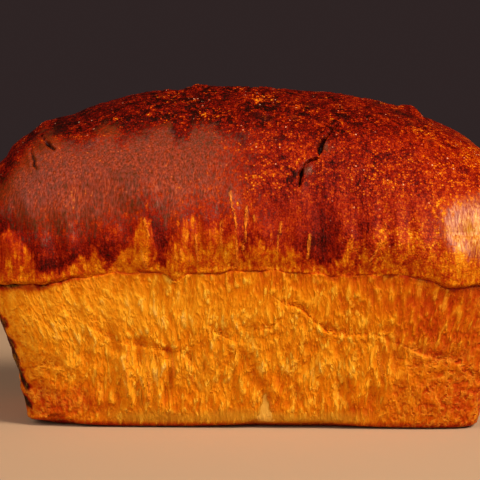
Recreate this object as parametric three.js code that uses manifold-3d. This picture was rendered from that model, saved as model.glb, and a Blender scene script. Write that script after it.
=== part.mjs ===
// A brioche loaf, baked in a flared tin, whose crown rose far over the rim.
// Millimetres, +Z up. The loaf rests on z = 0 with its long side along X, and the
// side with the main split of the crown faces -Y. The origin is under the middle of the loaf.
import * as THREE from "three";
import Module from "manifold-3d";

// The part that the tin shaped
const RIM_LENGTH = 222;
const RIM_WIDTH = 114;
const WALL_LEAN = 15;
const FOOT_ROUNDING = 2.5;
const UNDERSIDE_RISE = 0.6;
const TIN_POWER = 11;

// The seam, where the dough left the tin and the crown begins
const SEAM_HEIGHT = 60.5;
const SEAM_BOW = 7.5;
const SEAM_BOW_POWER = 2.4;
const SEAM_WAVE_X = { height: 0.7, length: 57, phase: 1 };
const SEAM_WAVE_Y = { height: 0.6, length: 69, phase: 2 };
const SEAM_CREASE = 1.2;
const SEAM_WALL_SHARE = 0.5;
const LIP_HEIGHT = 1.2;
const LIP_OVERHANG = 0.7;

// The crown
const TOTAL_HEIGHT = 140.6;
const SHOULDER_HEIGHT = 84;
const SHOULDER_OVERHANG_X = 7;
const SHOULDER_OVERHANG_Y = 5;
const CROWN_DRIFT = -5;
const SHOULDER_POWER = 4.5;
const SKIRT_POWER = 1.5;
const TOP_POWER = 2.5;
const DOME_POWER = 2.12;
const DOME_RISE = TOTAL_HEIGHT - SHOULDER_HEIGHT;

const RIM_HEIGHT = SEAM_HEIGHT + SEAM_BOW;
const RIM_HALF_X = RIM_LENGTH / 2;
const RIM_HALF_Y = RIM_WIDTH / 2;
const FOOT_HALF_X = RIM_HALF_X - WALL_LEAN;
const FOOT_HALF_Y = RIM_HALF_Y - WALL_LEAN;
const SHOULDER_HALF_X = RIM_HALF_X + SHOULDER_OVERHANG_X;
const SHOULDER_HALF_Y = RIM_HALF_Y + SHOULDER_OVERHANG_Y;

// The flat that the loaf rests on, a rectangle whose corners lie inside the underside's edge
const FLAT_SHARE = 0.82;
const FLAT_HALF_X = (FOOT_HALF_X - FOOT_ROUNDING) * FLAT_SHARE;
const FLAT_HALF_Y = (FOOT_HALF_Y - FOOT_ROUNDING) * FLAT_SHARE;

// Swellings point away from a line inside the loaf, and fade out towards its foot
const CORE_HALF_X = 62;
const CORE_LOW = 20;
const SWELL_WAVES = 9;
const SWELL_LONGEST = 74;
const SWELL_SHORTEST = 24;
const SWELL_TALLEST = 0.333;
const SWELL_LOWEST = 0.15;
const SWELL_PHASE = 2.1;
const CROWN_SWELL = 1.25;
const WALL_SWELL = 0.75;
const SWELL_FADE_HEIGHT = 12;
const GOLDEN_ANGLE = Math.PI * (3 - Math.sqrt(5));
const GOLDEN_SHARE = (Math.sqrt(5) - 1) / 2;

// Upright strands over the seam and upright wrinkles under it
const STRAND_DEPTH = 0.6;
const STRAND_SPACING = 13;
const STRAND_HEIGHT = 80;
const STRAND_REACH = 16;
const STRAND_BEND = 1.8;
const STRAND_BEND_LENGTH = 75;
const STRAND_SLANT = 0.025;
const WRINKLE_DEPTH = 0.45;
const WRINKLE_SPACING = 14.5;
const WRINKLE_BEND = 2.4;
const WRINKLE_BEND_HEIGHT = 82;
const WRINKLE_BREAK_HEIGHT = 56;
const WRINKLE_BEND_TURN = 1 / 31;
const WRINKLE_BREAK_TURN = 1 / 17;

// The mesh: cells along the long and the short sides, and rows up the loaf
const CELLS_X = 40;
const CELLS_Y = 20;
const QUARTER_SHARE = 0.5;
const HALF_SHARE = 0.8;
const UNDERSIDE_ROWS = 2;
const FOOT_ROWS = 2;
const WALL_ROWS = 10;
const SKIRT_ROWS = 5;
const DOME_ROWS = 8;
const CAP_TURN = Math.PI / 4;

// Uneven height of the bottom edge: where along X, how far up, and how wide
const LIFTED_EDGES = [
  { x: -86, side: -1, rise: 1.7, reach: 14 },
  { x: -80, side: -1, rise: 1, reach: 5 },
  { x: 2, side: -1, rise: 1.1, reach: 4 },
  { x: 16, side: -1, rise: 1.5, reach: 28 },
  { x: 31, side: -1, rise: 0.7, reach: 9 },
  { x: 58, side: 1, rise: 2.2, reach: 26 },
  { x: -40, side: 1, rise: 1.4, reach: 22 },
];

// Where the crown's lip hangs lower over the tin's rim than elsewhere
const SEAM_SAGS = [
  { x: -31.4, side: -1, drop: 4.2, reach: 4 },
  { x: 79, side: -1, drop: 2.6, reach: 12 },
  { x: -90, side: -1, drop: 1.2, reach: 9 },
  { x: 22, side: 1, drop: 3.6, reach: 6 },
  { x: -70, side: 1, drop: 2.2, reach: 11 },
];

// Where the seam is soft, because the crust runs on over it
const SOFT_SEAMS = [
  { x: 32, side: -1, softness: 0.7, reach: 24 },
  { x: -25, side: 1, softness: 0.6, reach: 20 },
];

// Knobs and dents: where, how far out, and how wide
const KNOBS = [
  { at: [-102, 0, 115], rise: 2.4, reach: 9 },
  { at: [-88, -4, 124], rise: 3.2, reach: 9 },
  { at: [-24, -3, 140], rise: 2, reach: 6 },
  { at: [-14, 0, 140], rise: 1.6, reach: 13 },
  { at: [4, -2, 139], rise: 1.2, reach: 12 },
  { at: [58, 0, 134], rise: 0.9, reach: 8 },
  { at: [68.2, -2, 131.5], rise: 4.3, reach: 5.5 },
  { at: [97, -6, 114], rise: 1.2, reach: 8 },
  { at: [-100, -38, 24], rise: -2.8, reach: 15 },
  { at: [-62, -45, 124], rise: 1.3, reach: 6 },
  { at: [38, -47, 117], rise: 1.8, reach: 9 },
  { at: [-50, 30, 133], rise: 2.4, reach: 12 },
  { at: [44, 38, 126], rise: 2.0, reach: 10 },
  { at: [5, 52, 112], rise: -1.6, reach: 9 },
];

// Folds pressed into the long sides, as [x, z] points down each fold
const SIDE_FOLDS = [
  { side: -1, depth: 1.6, reach: 3, points: [[-82, 54], [-65, 44], [-53, 37], [-34, 29]] },
  { side: -1, depth: 1.3, reach: 2.6, points: [[11, 53], [21, 48], [32, 42], [54, 37]] },
  { side: -1, depth: 1, reach: 2.6, points: [[-3, 43], [11, 43]] },
  { side: 1, depth: 1.5, reach: 3, points: [[70, 50], [48, 41], [26, 36], [14, 26]] },
  { side: 1, depth: 1.2, reach: 2.6, points: [[-20, 46], [-38, 41], [-60, 33]] },
];

// Splits in the crown's crust on the front, as [x, z] points with the half width there
const CRUST_SPLITS = [
  {
    depth: 3,
    points: [
      [36.2, 127.8, 0.3],
      [33.8, 125.0, 0.5],
      [31.5, 122.5, 0.7],
      [29.2, 119.8, 1.0],
      [28.6, 117.1, 0.8],
      [28.2, 114.4, 0.5],
      [24.8, 113.6, 0.4],
      [22.3, 112.2, 0.7],
      [21.3, 109.8, 0.8],
      [20.8, 106.6, 0.6],
      [20.2, 103.5, 0.3],
    ],
  },
  { depth: 2, points: [[-87.4, 121.5, 0.3], [-85.3, 119.6, 0.7], [-82.4, 117.4, 0.3]] },
  { depth: 1.6, points: [[-90.3, 114.5, 0.3], [-89.8, 112.3, 0.6], [-88.6, 110.6, 0.3]] },
];
const SPLIT_PROUD = 4;
const SPLIT_END_DEPTH = 0.4;

const mix = (from, to, share) => from + (to - from) * share;
const clamp = (value, low, high) => Math.min(Math.max(value, low), high);
const bell = (distance, reach) => Math.exp(-((distance / reach) ** 2));
const wave = (run, length, phase = 0) => Math.sin((2 * Math.PI * run) / length + phase);
const sum = (numbers) => numbers.reduce((total, number) => total + number, 0);
const sideOf = (y) => Math.sign(y) || 1;

// The point in direction (dx, dy) of a rounded rectangle with half sizes a and b.
function outlinePoint(dx, dy, a, b, power) {
  const norm = (Math.abs(dx) ** power + Math.abs(dy) ** power) ** (1 / power);
  return [(a * dx) / norm, (b * dy) / norm];
}

// How far a point lies towards a long side: 1 on that side, 0 on the other.
function onSide(y, side) {
  return clamp(0.5 + (side * y) / RIM_HALF_Y, 0, 1);
}

// The height of the seam above the point (x, y) of the rim.
function seamHeight(x, y) {
  const bow = SEAM_BOW * (1 - Math.abs(x / RIM_HALF_X) ** SEAM_BOW_POWER);
  const waveX = SEAM_WAVE_X.height * wave(x, SEAM_WAVE_X.length, SEAM_WAVE_X.phase);
  const waveY = SEAM_WAVE_Y.height * wave(y, SEAM_WAVE_Y.length, SEAM_WAVE_Y.phase);
  const sags = SEAM_SAGS.map((s) => s.drop * bell(x - s.x, s.reach) * onSide(y, s.side));
  return SEAM_HEIGHT + bow + waveX + waveY - sum(sags);
}

// How sharp the seam is, from 0 to 1.
function seamSharpness(x, y) {
  const soft = SOFT_SEAMS.map((s) => s.softness * bell(x - s.x, s.reach) * onSide(y, s.side));
  return 1 - sum(soft);
}

// How far the bottom edge stands above the table.
function edgeLift(x, y) {
  const lifts = LIFTED_EDGES.map((e) => e.rise * bell(x - e.x, e.reach) * onSide(y, e.side));
  return sum(lifts);
}

// The way a swelling goes at a point: out from the loaf's core.
function outward([x, y, z]) {
  const core = new THREE.Vector3(
    clamp(x, -CORE_HALF_X, CORE_HALF_X),
    0,
    clamp(z, CORE_LOW, SHOULDER_HEIGHT),
  );
  return new THREE.Vector3(x, y, z).sub(core).normalize();
}

// Slow swellings all over: waves whose directions turn by the golden angle.
function slowSwell([x, y, z]) {
  const waves = Array.from({ length: SWELL_WAVES }, (_, i) => {
    const share = i / (SWELL_WAVES - 1);
    const tilt = 2 * ((i * GOLDEN_SHARE) % 1) - 1;
    const flat = Math.sqrt(1 - tilt * tilt);
    const turn = i * GOLDEN_ANGLE;
    const run = flat * (x * Math.cos(turn) + y * Math.sin(turn)) + tilt * z;
    const height = mix(SWELL_TALLEST, SWELL_LOWEST, share);
    return height * wave(run, mix(SWELL_LONGEST, SWELL_SHORTEST, share), SWELL_PHASE * i);
  });
  return sum(waves);
}

// Upright strands where the rising crown stretched its skin, strongest just over the seam.
function skirtStrand([x, y, z]) {
  const around = x + y;
  const height = STRAND_DEPTH * bell(z - STRAND_HEIGHT, STRAND_REACH);
  const bend = STRAND_BEND * wave(around, STRAND_BEND_LENGTH) + STRAND_SLANT * z;
  return height * wave(around, STRAND_SPACING, bend);
}

// Upright wrinkles of the skin that lay against the tin.
function wallWrinkle([x, y, z]) {
  const around = x + y;
  const bend = WRINKLE_BEND * wave(z, WRINKLE_BEND_HEIGHT, WRINKLE_BEND_TURN * around);
  const breaks = wave(z, WRINKLE_BREAK_HEIGHT, WRINKLE_BREAK_TURN * around);
  return WRINKLE_DEPTH * wave(around, WRINKLE_SPACING, bend) * breaks;
}

function distanceToPath(x, z, points) {
  let nearest = Infinity;
  for (let i = 1; i < points.length; i += 1) {
    const [ax, az] = points[i - 1];
    const [bx, bz] = points[i];
    const run = (x - ax) * (bx - ax) + (z - az) * (bz - az);
    const share = clamp(run / ((bx - ax) ** 2 + (bz - az) ** 2), 0, 1);
    nearest = Math.min(nearest, Math.hypot(x - mix(ax, bx, share), z - mix(az, bz, share)));
  }
  return nearest;
}

// All the relief that is a swelling or a dent, as one distance along outward(). wallShare is
// 1 on the wall and 0 on the crown.
function relief(point, wallShare) {
  const [x, y, z] = point;
  const swell = mix(CROWN_SWELL, WALL_SWELL, wallShare) * slowSwell(point);
  const skin = wallShare * wallWrinkle(point) + (1 - wallShare) * skirtStrand(point);
  let out = clamp(z / SWELL_FADE_HEIGHT, 0, 1) * (swell + skin);
  for (const knob of KNOBS) {
    const [kx, ky, kz] = knob.at;
    out += knob.rise * bell(Math.hypot(x - kx, y - ky, z - kz), knob.reach);
  }
  for (const fold of SIDE_FOLDS) {
    if (fold.side === sideOf(y)) {
      const near = distanceToPath(x, z, fold.points);
      out -= wallShare * fold.depth * bell(near, fold.reach);
    }
  }
  return out;
}

function swollen(point, wallShare) {
  const way = outward(point).multiplyScalar(relief(point, wallShare));
  return [point[0] + way.x, point[1] + way.y, point[2] + way.z];
}

// The share of the shoulder's width that is left after a turn up the dome.
function domeShare(turn) {
  return Math.cos(turn) ** (2 / DOME_POWER);
}

// A point of the dome, where share is how far out it lies: 0 at the top and 1 at the shoulder.
function domePoint(dx, dy, share) {
  const power = mix(TOP_POWER, SHOULDER_POWER, share);
  const [x, y] = outlinePoint(dx, dy, SHOULDER_HALF_X * share, SHOULDER_HALF_Y * share, power);
  const up = Math.sqrt(1 - Math.min(share, 1) ** DOME_POWER);
  const z = SHOULDER_HEIGHT + DOME_RISE * up;
  return swollen([x + CROWN_DRIFT * up, y, z], 0);
}

// The part of the crown between the seam and the shoulder, where share goes from 0 up to 1.
function skirtPoint(dx, dy, share) {
  const spread = 1 - (1 - share) ** SKIRT_POWER;
  const power = mix(TIN_POWER, SHOULDER_POWER, share);
  const a = RIM_HALF_X + Math.max(SHOULDER_OVERHANG_X * spread, LIP_OVERHANG);
  const b = RIM_HALF_Y + Math.max(SHOULDER_OVERHANG_Y * spread, LIP_OVERHANG);
  const [x, y] = outlinePoint(dx, dy, a, b, power);
  const low = seamHeight(x, y) + LIP_HEIGHT;
  return swollen([x, y, mix(low, SHOULDER_HEIGHT, share)], 0);
}

// How far the wall stands in from the rim at a height, over a foot that begins at low.
function wallInset(z, low) {
  return WALL_LEAN * clamp((RIM_HEIGHT - z) / (RIM_HEIGHT - low), 0, 1);
}

// The bottom of the crease at the seam.
function creasePoint(dx, dy) {
  const [rimX, rimY] = outlinePoint(dx, dy, RIM_HALF_X, RIM_HALF_Y, TIN_POWER);
  const z = seamHeight(rimX, rimY);
  const inset = wallInset(z, FOOT_ROUNDING) + SEAM_CREASE * seamSharpness(rimX, rimY);
  const [x, y] = outlinePoint(dx, dy, RIM_HALF_X - inset, RIM_HALF_Y - inset, TIN_POWER);
  return swollen([x, y, z], SEAM_WALL_SHARE);
}

// A point of the tin-shaped wall, where share goes from the foot's rounding up to the seam.
function wallPoint(dx, dy, share) {
  const [rimX, rimY] = outlinePoint(dx, dy, RIM_HALF_X, RIM_HALF_Y, TIN_POWER);
  const low = UNDERSIDE_RISE + FOOT_ROUNDING + edgeLift(rimX, rimY);
  const z = mix(low, seamHeight(rimX, rimY) - LIP_HEIGHT, share);
  const inset = wallInset(z, low);
  const [x, y] = outlinePoint(dx, dy, RIM_HALF_X - inset, RIM_HALF_Y - inset, TIN_POWER);
  return swollen([x, y, z], 1);
}

// The rounding between the underside and the wall, where share goes from 0 up to 1.
function footPoint(dx, dy, share) {
  const turn = (share * Math.PI) / 2;
  const inset = FOOT_ROUNDING * (1 - Math.sin(turn));
  const [x, y] = outlinePoint(dx, dy, FOOT_HALF_X - inset, FOOT_HALF_Y - inset, TIN_POWER);
  const up = FOOT_ROUNDING * (1 - Math.cos(turn));
  return [x, y, UNDERSIDE_RISE + up + edgeLift(x, y)];
}

// The flat that the loaf rests on, where size is its share of the whole flat.
function flatPoint(dx, dy, size) {
  return [FLAT_HALF_X * size * dx, FLAT_HALF_Y * size * dy, 0];
}

// The underside between the flat and its uneven edge, which stands a little over the table.
function undersidePoint(dx, dy, share) {
  const [flatX, flatY] = flatPoint(dx, dy, 1);
  const [edgeX, edgeY] = footPoint(dx, dy, 0);
  const x = mix(flatX, edgeX, share);
  const y = mix(flatY, edgeY, share);
  return [x, y, (UNDERSIDE_RISE + edgeLift(x, y)) * share * share];
}

const positions = [];
const triangles = [];

function addPoint(point) {
  positions.push(...point);
  return positions.length / 3 - 1;
}

// The points of a grid's border, anticlockwise from its corner at -X -Y.
function gridBorder(cellsX, cellsY) {
  const side = (count, pointAt) => Array.from({ length: count }, (_, k) => pointAt(k));
  return [
    ...side(cellsX, (k) => [k, 0]),
    ...side(cellsY, (k) => [cellsX, k]),
    ...side(cellsX, (k) => [cellsX - k, cellsY]),
    ...side(cellsY, (k) => [0, cellsY - k]),
  ];
}

// One ring of points. A coarse ring has a whole number of the fine ring's cells in each of its own.
function addRing(pointAt, coarseness = 1) {
  const cellsX = CELLS_X / coarseness;
  const cellsY = CELLS_Y / coarseness;
  return gridBorder(cellsX, cellsY).map(([i, j]) =>
    addPoint(pointAt(mix(-1, 1, i / cellsX), mix(-1, 1, j / cellsY))),
  );
}

// Triangles between a ring and the next one out or up, with as many points.
function joinRings(low, high) {
  for (let i = 0; i < low.length; i += 1) {
    const next = (i + 1) % low.length;
    triangles.push(low[i], low[next], high[next]);
    triangles.push(low[i], high[next], high[i]);
  }
}

// Triangles between a ring and the next one out, with twice the points.
function joinToDouble(inner, outer) {
  for (let i = 0; i < inner.length; i += 1) {
    const next = (i + 1) % inner.length;
    const start = outer[2 * i];
    const middle = outer[2 * i + 1];
    const end = outer[(2 * i + 2) % outer.length];
    triangles.push(inner[i], inner[next], middle);
    triangles.push(inner[i], middle, start);
    triangles.push(inner[next], end, middle);
  }
}

// A grid that closes a ring, with its faces up or down. pointAt takes a direction and the
// share of the way out from the middle.
function closeRing(ring, coarseness, pointAt, facesUp) {
  const cellsX = CELLS_X / coarseness;
  const cellsY = CELLS_Y / coarseness;
  const grid = Array.from({ length: cellsX + 1 }, () => new Array(cellsY + 1));
  gridBorder(cellsX, cellsY).forEach(([i, j], k) => {
    grid[i][j] = ring[k];
  });
  for (let i = 1; i < cellsX; i += 1) {
    for (let j = 1; j < cellsY; j += 1) {
      const u = mix(-1, 1, i / cellsX);
      const v = mix(-1, 1, j / cellsY);
      const share = Math.max(Math.abs(u), Math.abs(v));
      const unit = share || 1;
      grid[i][j] = addPoint(share ? pointAt(u / unit, v / unit, share) : pointAt(1, 0, 0));
    }
  }
  for (let i = 0; i < cellsX; i += 1) {
    for (let j = 0; j < cellsY; j += 1) {
      const a = grid[i][j];
      const b = facesUp ? grid[i + 1][j] : grid[i][j + 1];
      const c = grid[i + 1][j + 1];
      const d = facesUp ? grid[i][j + 1] : grid[i + 1][j];
      triangles.push(a, b, c, a, c, d);
    }
  }
}

// The loaf's skin, from the middle of the underside out, up the sides and over the crown.
function buildSkin() {
  const quarter = addRing((dx, dy) => flatPoint(dx, dy, QUARTER_SHARE), 4);
  closeRing(quarter, 4, (dx, dy, share) => flatPoint(dx, dy, share * QUARTER_SHARE), false);
  const half = addRing((dx, dy) => flatPoint(dx, dy, HALF_SHARE), 2);
  joinToDouble(quarter, half);
  let ring = addRing((dx, dy) => flatPoint(dx, dy, 1));
  joinToDouble(half, ring);
  const climb = (rows, pointAt) => {
    for (let row = 1; row <= rows; row += 1) {
      const next = addRing((dx, dy) => pointAt(dx, dy, row / rows));
      joinRings(ring, next);
      ring = next;
    }
  };
  climb(UNDERSIDE_ROWS, undersidePoint);
  climb(FOOT_ROWS, footPoint);
  climb(WALL_ROWS, wallPoint);
  climb(1, creasePoint);
  climb(1, (dx, dy) => skirtPoint(dx, dy, 0));
  climb(SKIRT_ROWS, skirtPoint);
  climb(DOME_ROWS, (dx, dy, share) => domePoint(dx, dy, domeShare(CAP_TURN * share)));
  const capShare = domeShare(CAP_TURN);
  closeRing(ring, 1, (dx, dy, share) => domePoint(dx, dy, share * capShare), true);
}

// The point of the crown's front at a place along the loaf and a height.
function crownFront(x, z) {
  const up = (z - SHOULDER_HEIGHT) / DOME_RISE;
  const share = (1 - up * up) ** (1 / DOME_POWER);
  const power = mix(TOP_POWER, SHOULDER_POWER, share);
  const along = Math.abs(x - CROWN_DRIFT * up) / (SHOULDER_HALF_X * share);
  const y = -SHOULDER_HALF_Y * share * (1 - along ** power) ** (1 / power);
  return swollen([x, y, z], 0);
}

// A wedge that follows a split of the crust, wide outside and sharp inside.
function splitCutter(split) {
  const middle = split.points.map(([x, z]) => new THREE.Vector3(...crownFront(x, z)));
  const corners = [];
  const faces = [];
  split.points.forEach(([, , halfWidth], i) => {
    const before = middle[Math.max(i - 1, 0)];
    const after = middle[Math.min(i + 1, middle.length - 1)];
    const out = outward(middle[i].toArray());
    const across = new THREE.Vector3().subVectors(after, before).cross(out).normalize();
    const depth = split.depth * clamp(halfWidth, SPLIT_END_DEPTH, 1);
    const flare = (halfWidth * (depth + SPLIT_PROUD)) / depth;
    const outer = middle[i].clone().addScaledVector(out, SPLIT_PROUD);
    corners.push(...outer.clone().addScaledVector(across, flare).toArray());
    corners.push(...outer.clone().addScaledVector(across, -flare).toArray());
    corners.push(...middle[i].clone().addScaledVector(out, -depth).toArray());
    const a = 3 * i;
    if (i > 0) {
      for (const [p, q] of [[0, 1], [1, 2], [2, 0]]) {
        faces.push(a - 3 + p, a + p, a + q);
        faces.push(a - 3 + p, a + q, a - 3 + q);
      }
    }
  });
  const last = corners.length / 3 - 3;
  faces.push(0, 1, 2, last, last + 2, last + 1);
  return [corners, faces];
}

const wasm = await Module();
wasm.setup();

function solidOf(points, faces) {
  const mesh = new wasm.Mesh({
    numProp: 3,
    vertProperties: Float32Array.from(points),
    triVerts: Uint32Array.from(faces),
  });
  return new wasm.Manifold(mesh);
}

function geometryOf(solid) {
  const mesh = solid.getMesh();
  const geometry = new THREE.BufferGeometry();
  geometry.setAttribute("position", new THREE.BufferAttribute(mesh.vertProperties, 3));
  geometry.setIndex(new THREE.BufferAttribute(mesh.triVerts, 1));
  return geometry;
}

// Moves the loaf so that the middle of its outline stands over the origin.
function centre(geometry) {
  geometry.computeBoundingBox();
  const middle = geometry.boundingBox.getCenter(new THREE.Vector3());
  geometry.translate(-middle.x, -middle.y, 0);
  geometry.computeVertexNormals();
  return geometry;
}

buildSkin();
let solid = solidOf(positions, triangles);
for (const split of CRUST_SPLITS) {
  solid = solid.subtract(solidOf(...splitCutter(split)));
}

const crust = new THREE.MeshStandardMaterial({ color: 0xa8551c, roughness: 0.5, metalness: 0 });
const loaf = new THREE.Mesh(centre(geometryOf(solid)), crust);
loaf.name = "loaf";

const part = new THREE.Group();
part.add(loaf);
export default part;
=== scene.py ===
"""A brioche loaf from a flared tin: its baked skin in full relief, and the studio that shows it.

The loaf rests on z = 0 with its long side along X, and the side with the main split of the
crown faces -Y. Sizes of the loaf are in millimetres, and of the studio in metres.
"""

import itertools
import logging
import math
from collections.abc import Callable
from dataclasses import dataclass, field
from enum import Enum
from typing import ClassVar

import bmesh
import bpy
import numpy as np
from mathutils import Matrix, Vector


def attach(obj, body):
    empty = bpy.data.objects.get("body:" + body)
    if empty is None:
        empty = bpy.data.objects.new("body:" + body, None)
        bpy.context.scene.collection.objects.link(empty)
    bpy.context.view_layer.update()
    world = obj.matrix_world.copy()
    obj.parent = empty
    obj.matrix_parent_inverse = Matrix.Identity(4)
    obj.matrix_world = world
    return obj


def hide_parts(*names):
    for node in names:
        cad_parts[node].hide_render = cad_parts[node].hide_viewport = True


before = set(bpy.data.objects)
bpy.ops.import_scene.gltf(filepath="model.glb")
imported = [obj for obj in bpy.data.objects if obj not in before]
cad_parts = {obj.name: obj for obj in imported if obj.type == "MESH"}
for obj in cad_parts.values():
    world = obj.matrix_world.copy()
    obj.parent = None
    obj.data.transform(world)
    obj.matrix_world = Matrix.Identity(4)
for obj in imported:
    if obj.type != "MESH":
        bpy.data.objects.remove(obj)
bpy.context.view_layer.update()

Array = np.ndarray
PointAt = Callable[[Array, Array, float], Array]
Vector3 = tuple[float, float, float]
Colour = tuple[float, float, float, float]

MM = 0.001
FAR = 12.0
GOLDEN_SHARE = (math.sqrt(5) - 1) / 2
GOLDEN_ANGLE = math.pi * (3 - math.sqrt(5))
LOG = logging.getLogger("brioche")


def mix(start: float | Array, end: float | Array, share: float | Array) -> float | Array:
    """The value at a share of the way from start to end."""
    return start + (end - start) * share


def rise(value: Array, low: float, high: float) -> Array:
    """A smooth step from 0 at low to 1 at high, also where high is the lower of the two."""
    share = np.clip((value - low) / (high - low), 0, 1)
    return share * share * (3 - 2 * share)


def bell(distance: Array, reach: float) -> Array:
    """A round bump of height 1 that fades out at about twice its reach."""
    return np.exp(-((distance / reach) ** 2))


def wave(run: Array, length: float, phase: float | Array = 0.0) -> Array:
    """A sine wave of height 1 along a run."""
    return np.sin(2 * math.pi * run / length + phase)


def on_side(y: Array, side: int, half_width: float) -> Array:
    """How far points lie towards a long side: 1 on that side, 0 on the other."""
    return np.clip(0.5 + side * y / half_width, 0, 1)


def outline(dx: Array, dy: Array, a: Array | float, b: Array | float, power: Array | float) -> Array:
    """Points of a rounded rectangle.

    Args:
        dx: The X part of each point's direction.
        dy: The Y part of each point's direction.
        a: Half the rectangle's length.
        b: Half its width.
        power: How square its corners are.

    Returns:
        The points as rows of x and y.
    """
    norm = (np.abs(dx) ** power + np.abs(dy) ** power) ** (1 / power)
    return np.column_stack([a * dx / norm, b * dy / norm])


def path_distance(x: Array, z: Array, path: tuple[tuple[float, ...], ...]) -> tuple[Array, Array]:
    """How far points are from a path drawn on a side of the loaf.

    Args:
        x: Where the points are along the loaf.
        z: How high they are.
        path: The path's points as x, z and any third value, such as a width.

    Returns:
        The distance to the path, and the third value at the nearest place, or 0 without one.
    """
    nearest = np.full(len(x), np.inf)
    carried = np.zeros(len(x))
    for start, end in itertools.pairwise(path):
        step_x = end[0] - start[0]
        step_z = end[1] - start[1]
        along = (x - start[0]) * step_x + (z - start[1]) * step_z
        share = np.clip(along / (step_x**2 + step_z**2), 0, 1)
        distance = np.hypot(x - mix(start[0], end[0], share), z - mix(start[1], end[1], share))
        closer = distance < nearest
        nearest = np.where(closer, distance, nearest)
        if len(start) > 2:
            carried = np.where(closer, mix(start[2], end[2], share), carried)
    return nearest, carried


class DoughNoise:
    """Smooth seeded noise in space, from about -1 to 1."""

    LATTICE = 256
    SCALE = 1.6
    RIDGE_SLOPE = 2.2

    def __init__(self, seed: int) -> None:
        """Draws the noise's lattice.

        Args:
            seed: The seed, which gives the same noise on every run.
        """
        draw = np.random.default_rng(seed)
        self.order = np.tile(draw.permutation(self.LATTICE), 2)
        slopes = draw.normal(size=(self.LATTICE, 3))
        self.slopes = slopes / np.linalg.norm(slopes, axis=1, keepdims=True)

    def at(self, points: Array, across: float, upright: float | None = None) -> Array:
        """The noise at points in space.

        Args:
            points: Rows of x, y and z.
            across: The noise's spacing over X and Y.
            upright: Its spacing over Z, where it isn't the same.

        Returns:
            One value for each point.
        """
        spacing = np.array([across, across, upright or across])
        scaled = points / spacing
        cell = np.floor(scaled).astype(int)
        offset = scaled - cell
        fade = offset**3 * (offset * (offset * 6 - 15) + 10)
        total = np.zeros(len(points))
        for corner in itertools.product((0, 1), repeat=3):
            i, j, k = ((cell + corner) % self.LATTICE).T
            index = self.order[self.order[self.order[i] + j] + k]
            height = np.einsum("ij,ij->i", offset - corner, self.slopes[index])
            total += height * np.prod(np.where(corner, fade, 1 - fade), axis=1)
        return total * self.SCALE

    def ridges(self, points: Array, across: float, upright: float | None = None) -> Array:
        """Thin ridges, from 0 between them to 1 on their crests."""
        return np.clip(1 - self.RIDGE_SLOPE * np.abs(self.at(points, across, upright)), 0, 1)


@dataclass(frozen=True)
class Place:
    """A place on a long side of the loaf, with what changes there."""

    x: float
    side: int
    amount: float
    reach: float


def gather(places: tuple[Place, ...], x: Array, y: Array, half_width: float) -> Array:
    """The sum of what a list of places changes at points of the loaf."""
    total = np.zeros(len(x))
    for place in places:
        total += place.amount * bell(x - place.x, place.reach) * on_side(y, place.side, half_width)
    return total


@dataclass(frozen=True)
class Knob:
    """A knob or, where its rise is negative, a dent."""

    x: float
    y: float
    z: float
    rise: float
    reach: float

    def relief(self, points: Array) -> Array:
        """How far the knob lifts points, in millimetres."""
        distance = np.linalg.norm(points - np.array([self.x, self.y, self.z]), axis=1)
        return self.rise * bell(distance, self.reach)


@dataclass(frozen=True)
class Ripple:
    """A low wave along a direction over the rim."""

    height: float
    length: float
    along_x: float
    along_y: float
    phase: float = 0

    def at(self, x: Array, y: Array) -> Array:
        """The wave's height over points of the rim."""
        return self.height * wave(self.along_x * x + self.along_y * y, self.length, self.phase)


@dataclass(frozen=True)
class Swell:
    """Slow swellings all over: waves in space whose directions turn by the golden angle."""

    waves: int = 9
    heights: tuple[float, float] = (0.333, 0.15)
    lengths: tuple[float, float] = (74, 24)
    phase_step: float = 2.1

    def at(self, points: Array) -> Array:
        """The sum of the waves at points in space."""
        total = np.zeros(len(points))
        for i in range(self.waves):
            share = i / (self.waves - 1)
            tilt = 2 * ((i * GOLDEN_SHARE) % 1) - 1
            turn = i * GOLDEN_ANGLE
            level = math.sqrt(1 - tilt * tilt)
            way = np.array([level * math.cos(turn), level * math.sin(turn), tilt])
            height = mix(*self.heights, share)
            total += height * wave(points @ way, mix(*self.lengths, share), self.phase_step * i)
        return total


@dataclass(frozen=True)
class UprightWrinkles:
    """The slow upright wrinkles of the wall, which wander from side to side."""

    height: float = 0.45
    spacing: float = 14.5
    wander: float = 2.4
    wander_length: float = 82
    wander_drift: float = 31
    fade_length: float = 56
    fade_drift: float = 17

    def at(self, points: Array) -> Array:
        """The wrinkles at points of the wall."""
        x, y, z = points.T
        around = x + y
        wander = self.wander * wave(z, self.wander_length, around / self.wander_drift)
        fade = wave(z, self.fade_length, around / self.fade_drift)
        return self.height * wave(around, self.spacing, wander) * fade


@dataclass(frozen=True)
class UprightStrands:
    """The slow upright strands of the crown's skirt."""

    height: float = 0.6
    spacing: float = 13
    wander: float = 1.8
    wander_length: float = 75
    slant: float = 0.025
    middle: float = 80
    reach: float = 16

    def at(self, points: Array) -> Array:
        """The strands at points of the crown."""
        x, y, z = points.T
        around = x + y
        wander = self.wander * wave(around, self.wander_length) + self.slant * z
        return self.height * bell(z - self.middle, self.reach) * wave(around, self.spacing, wander)


@dataclass(frozen=True)
class Step:
    """A smooth step from 0 at low to 1 at high, also where high is the lower of the two."""

    low: float
    high: float

    def at(self, value: Array) -> Array:
        """The step at values."""
        return rise(value, self.low, self.high)


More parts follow.
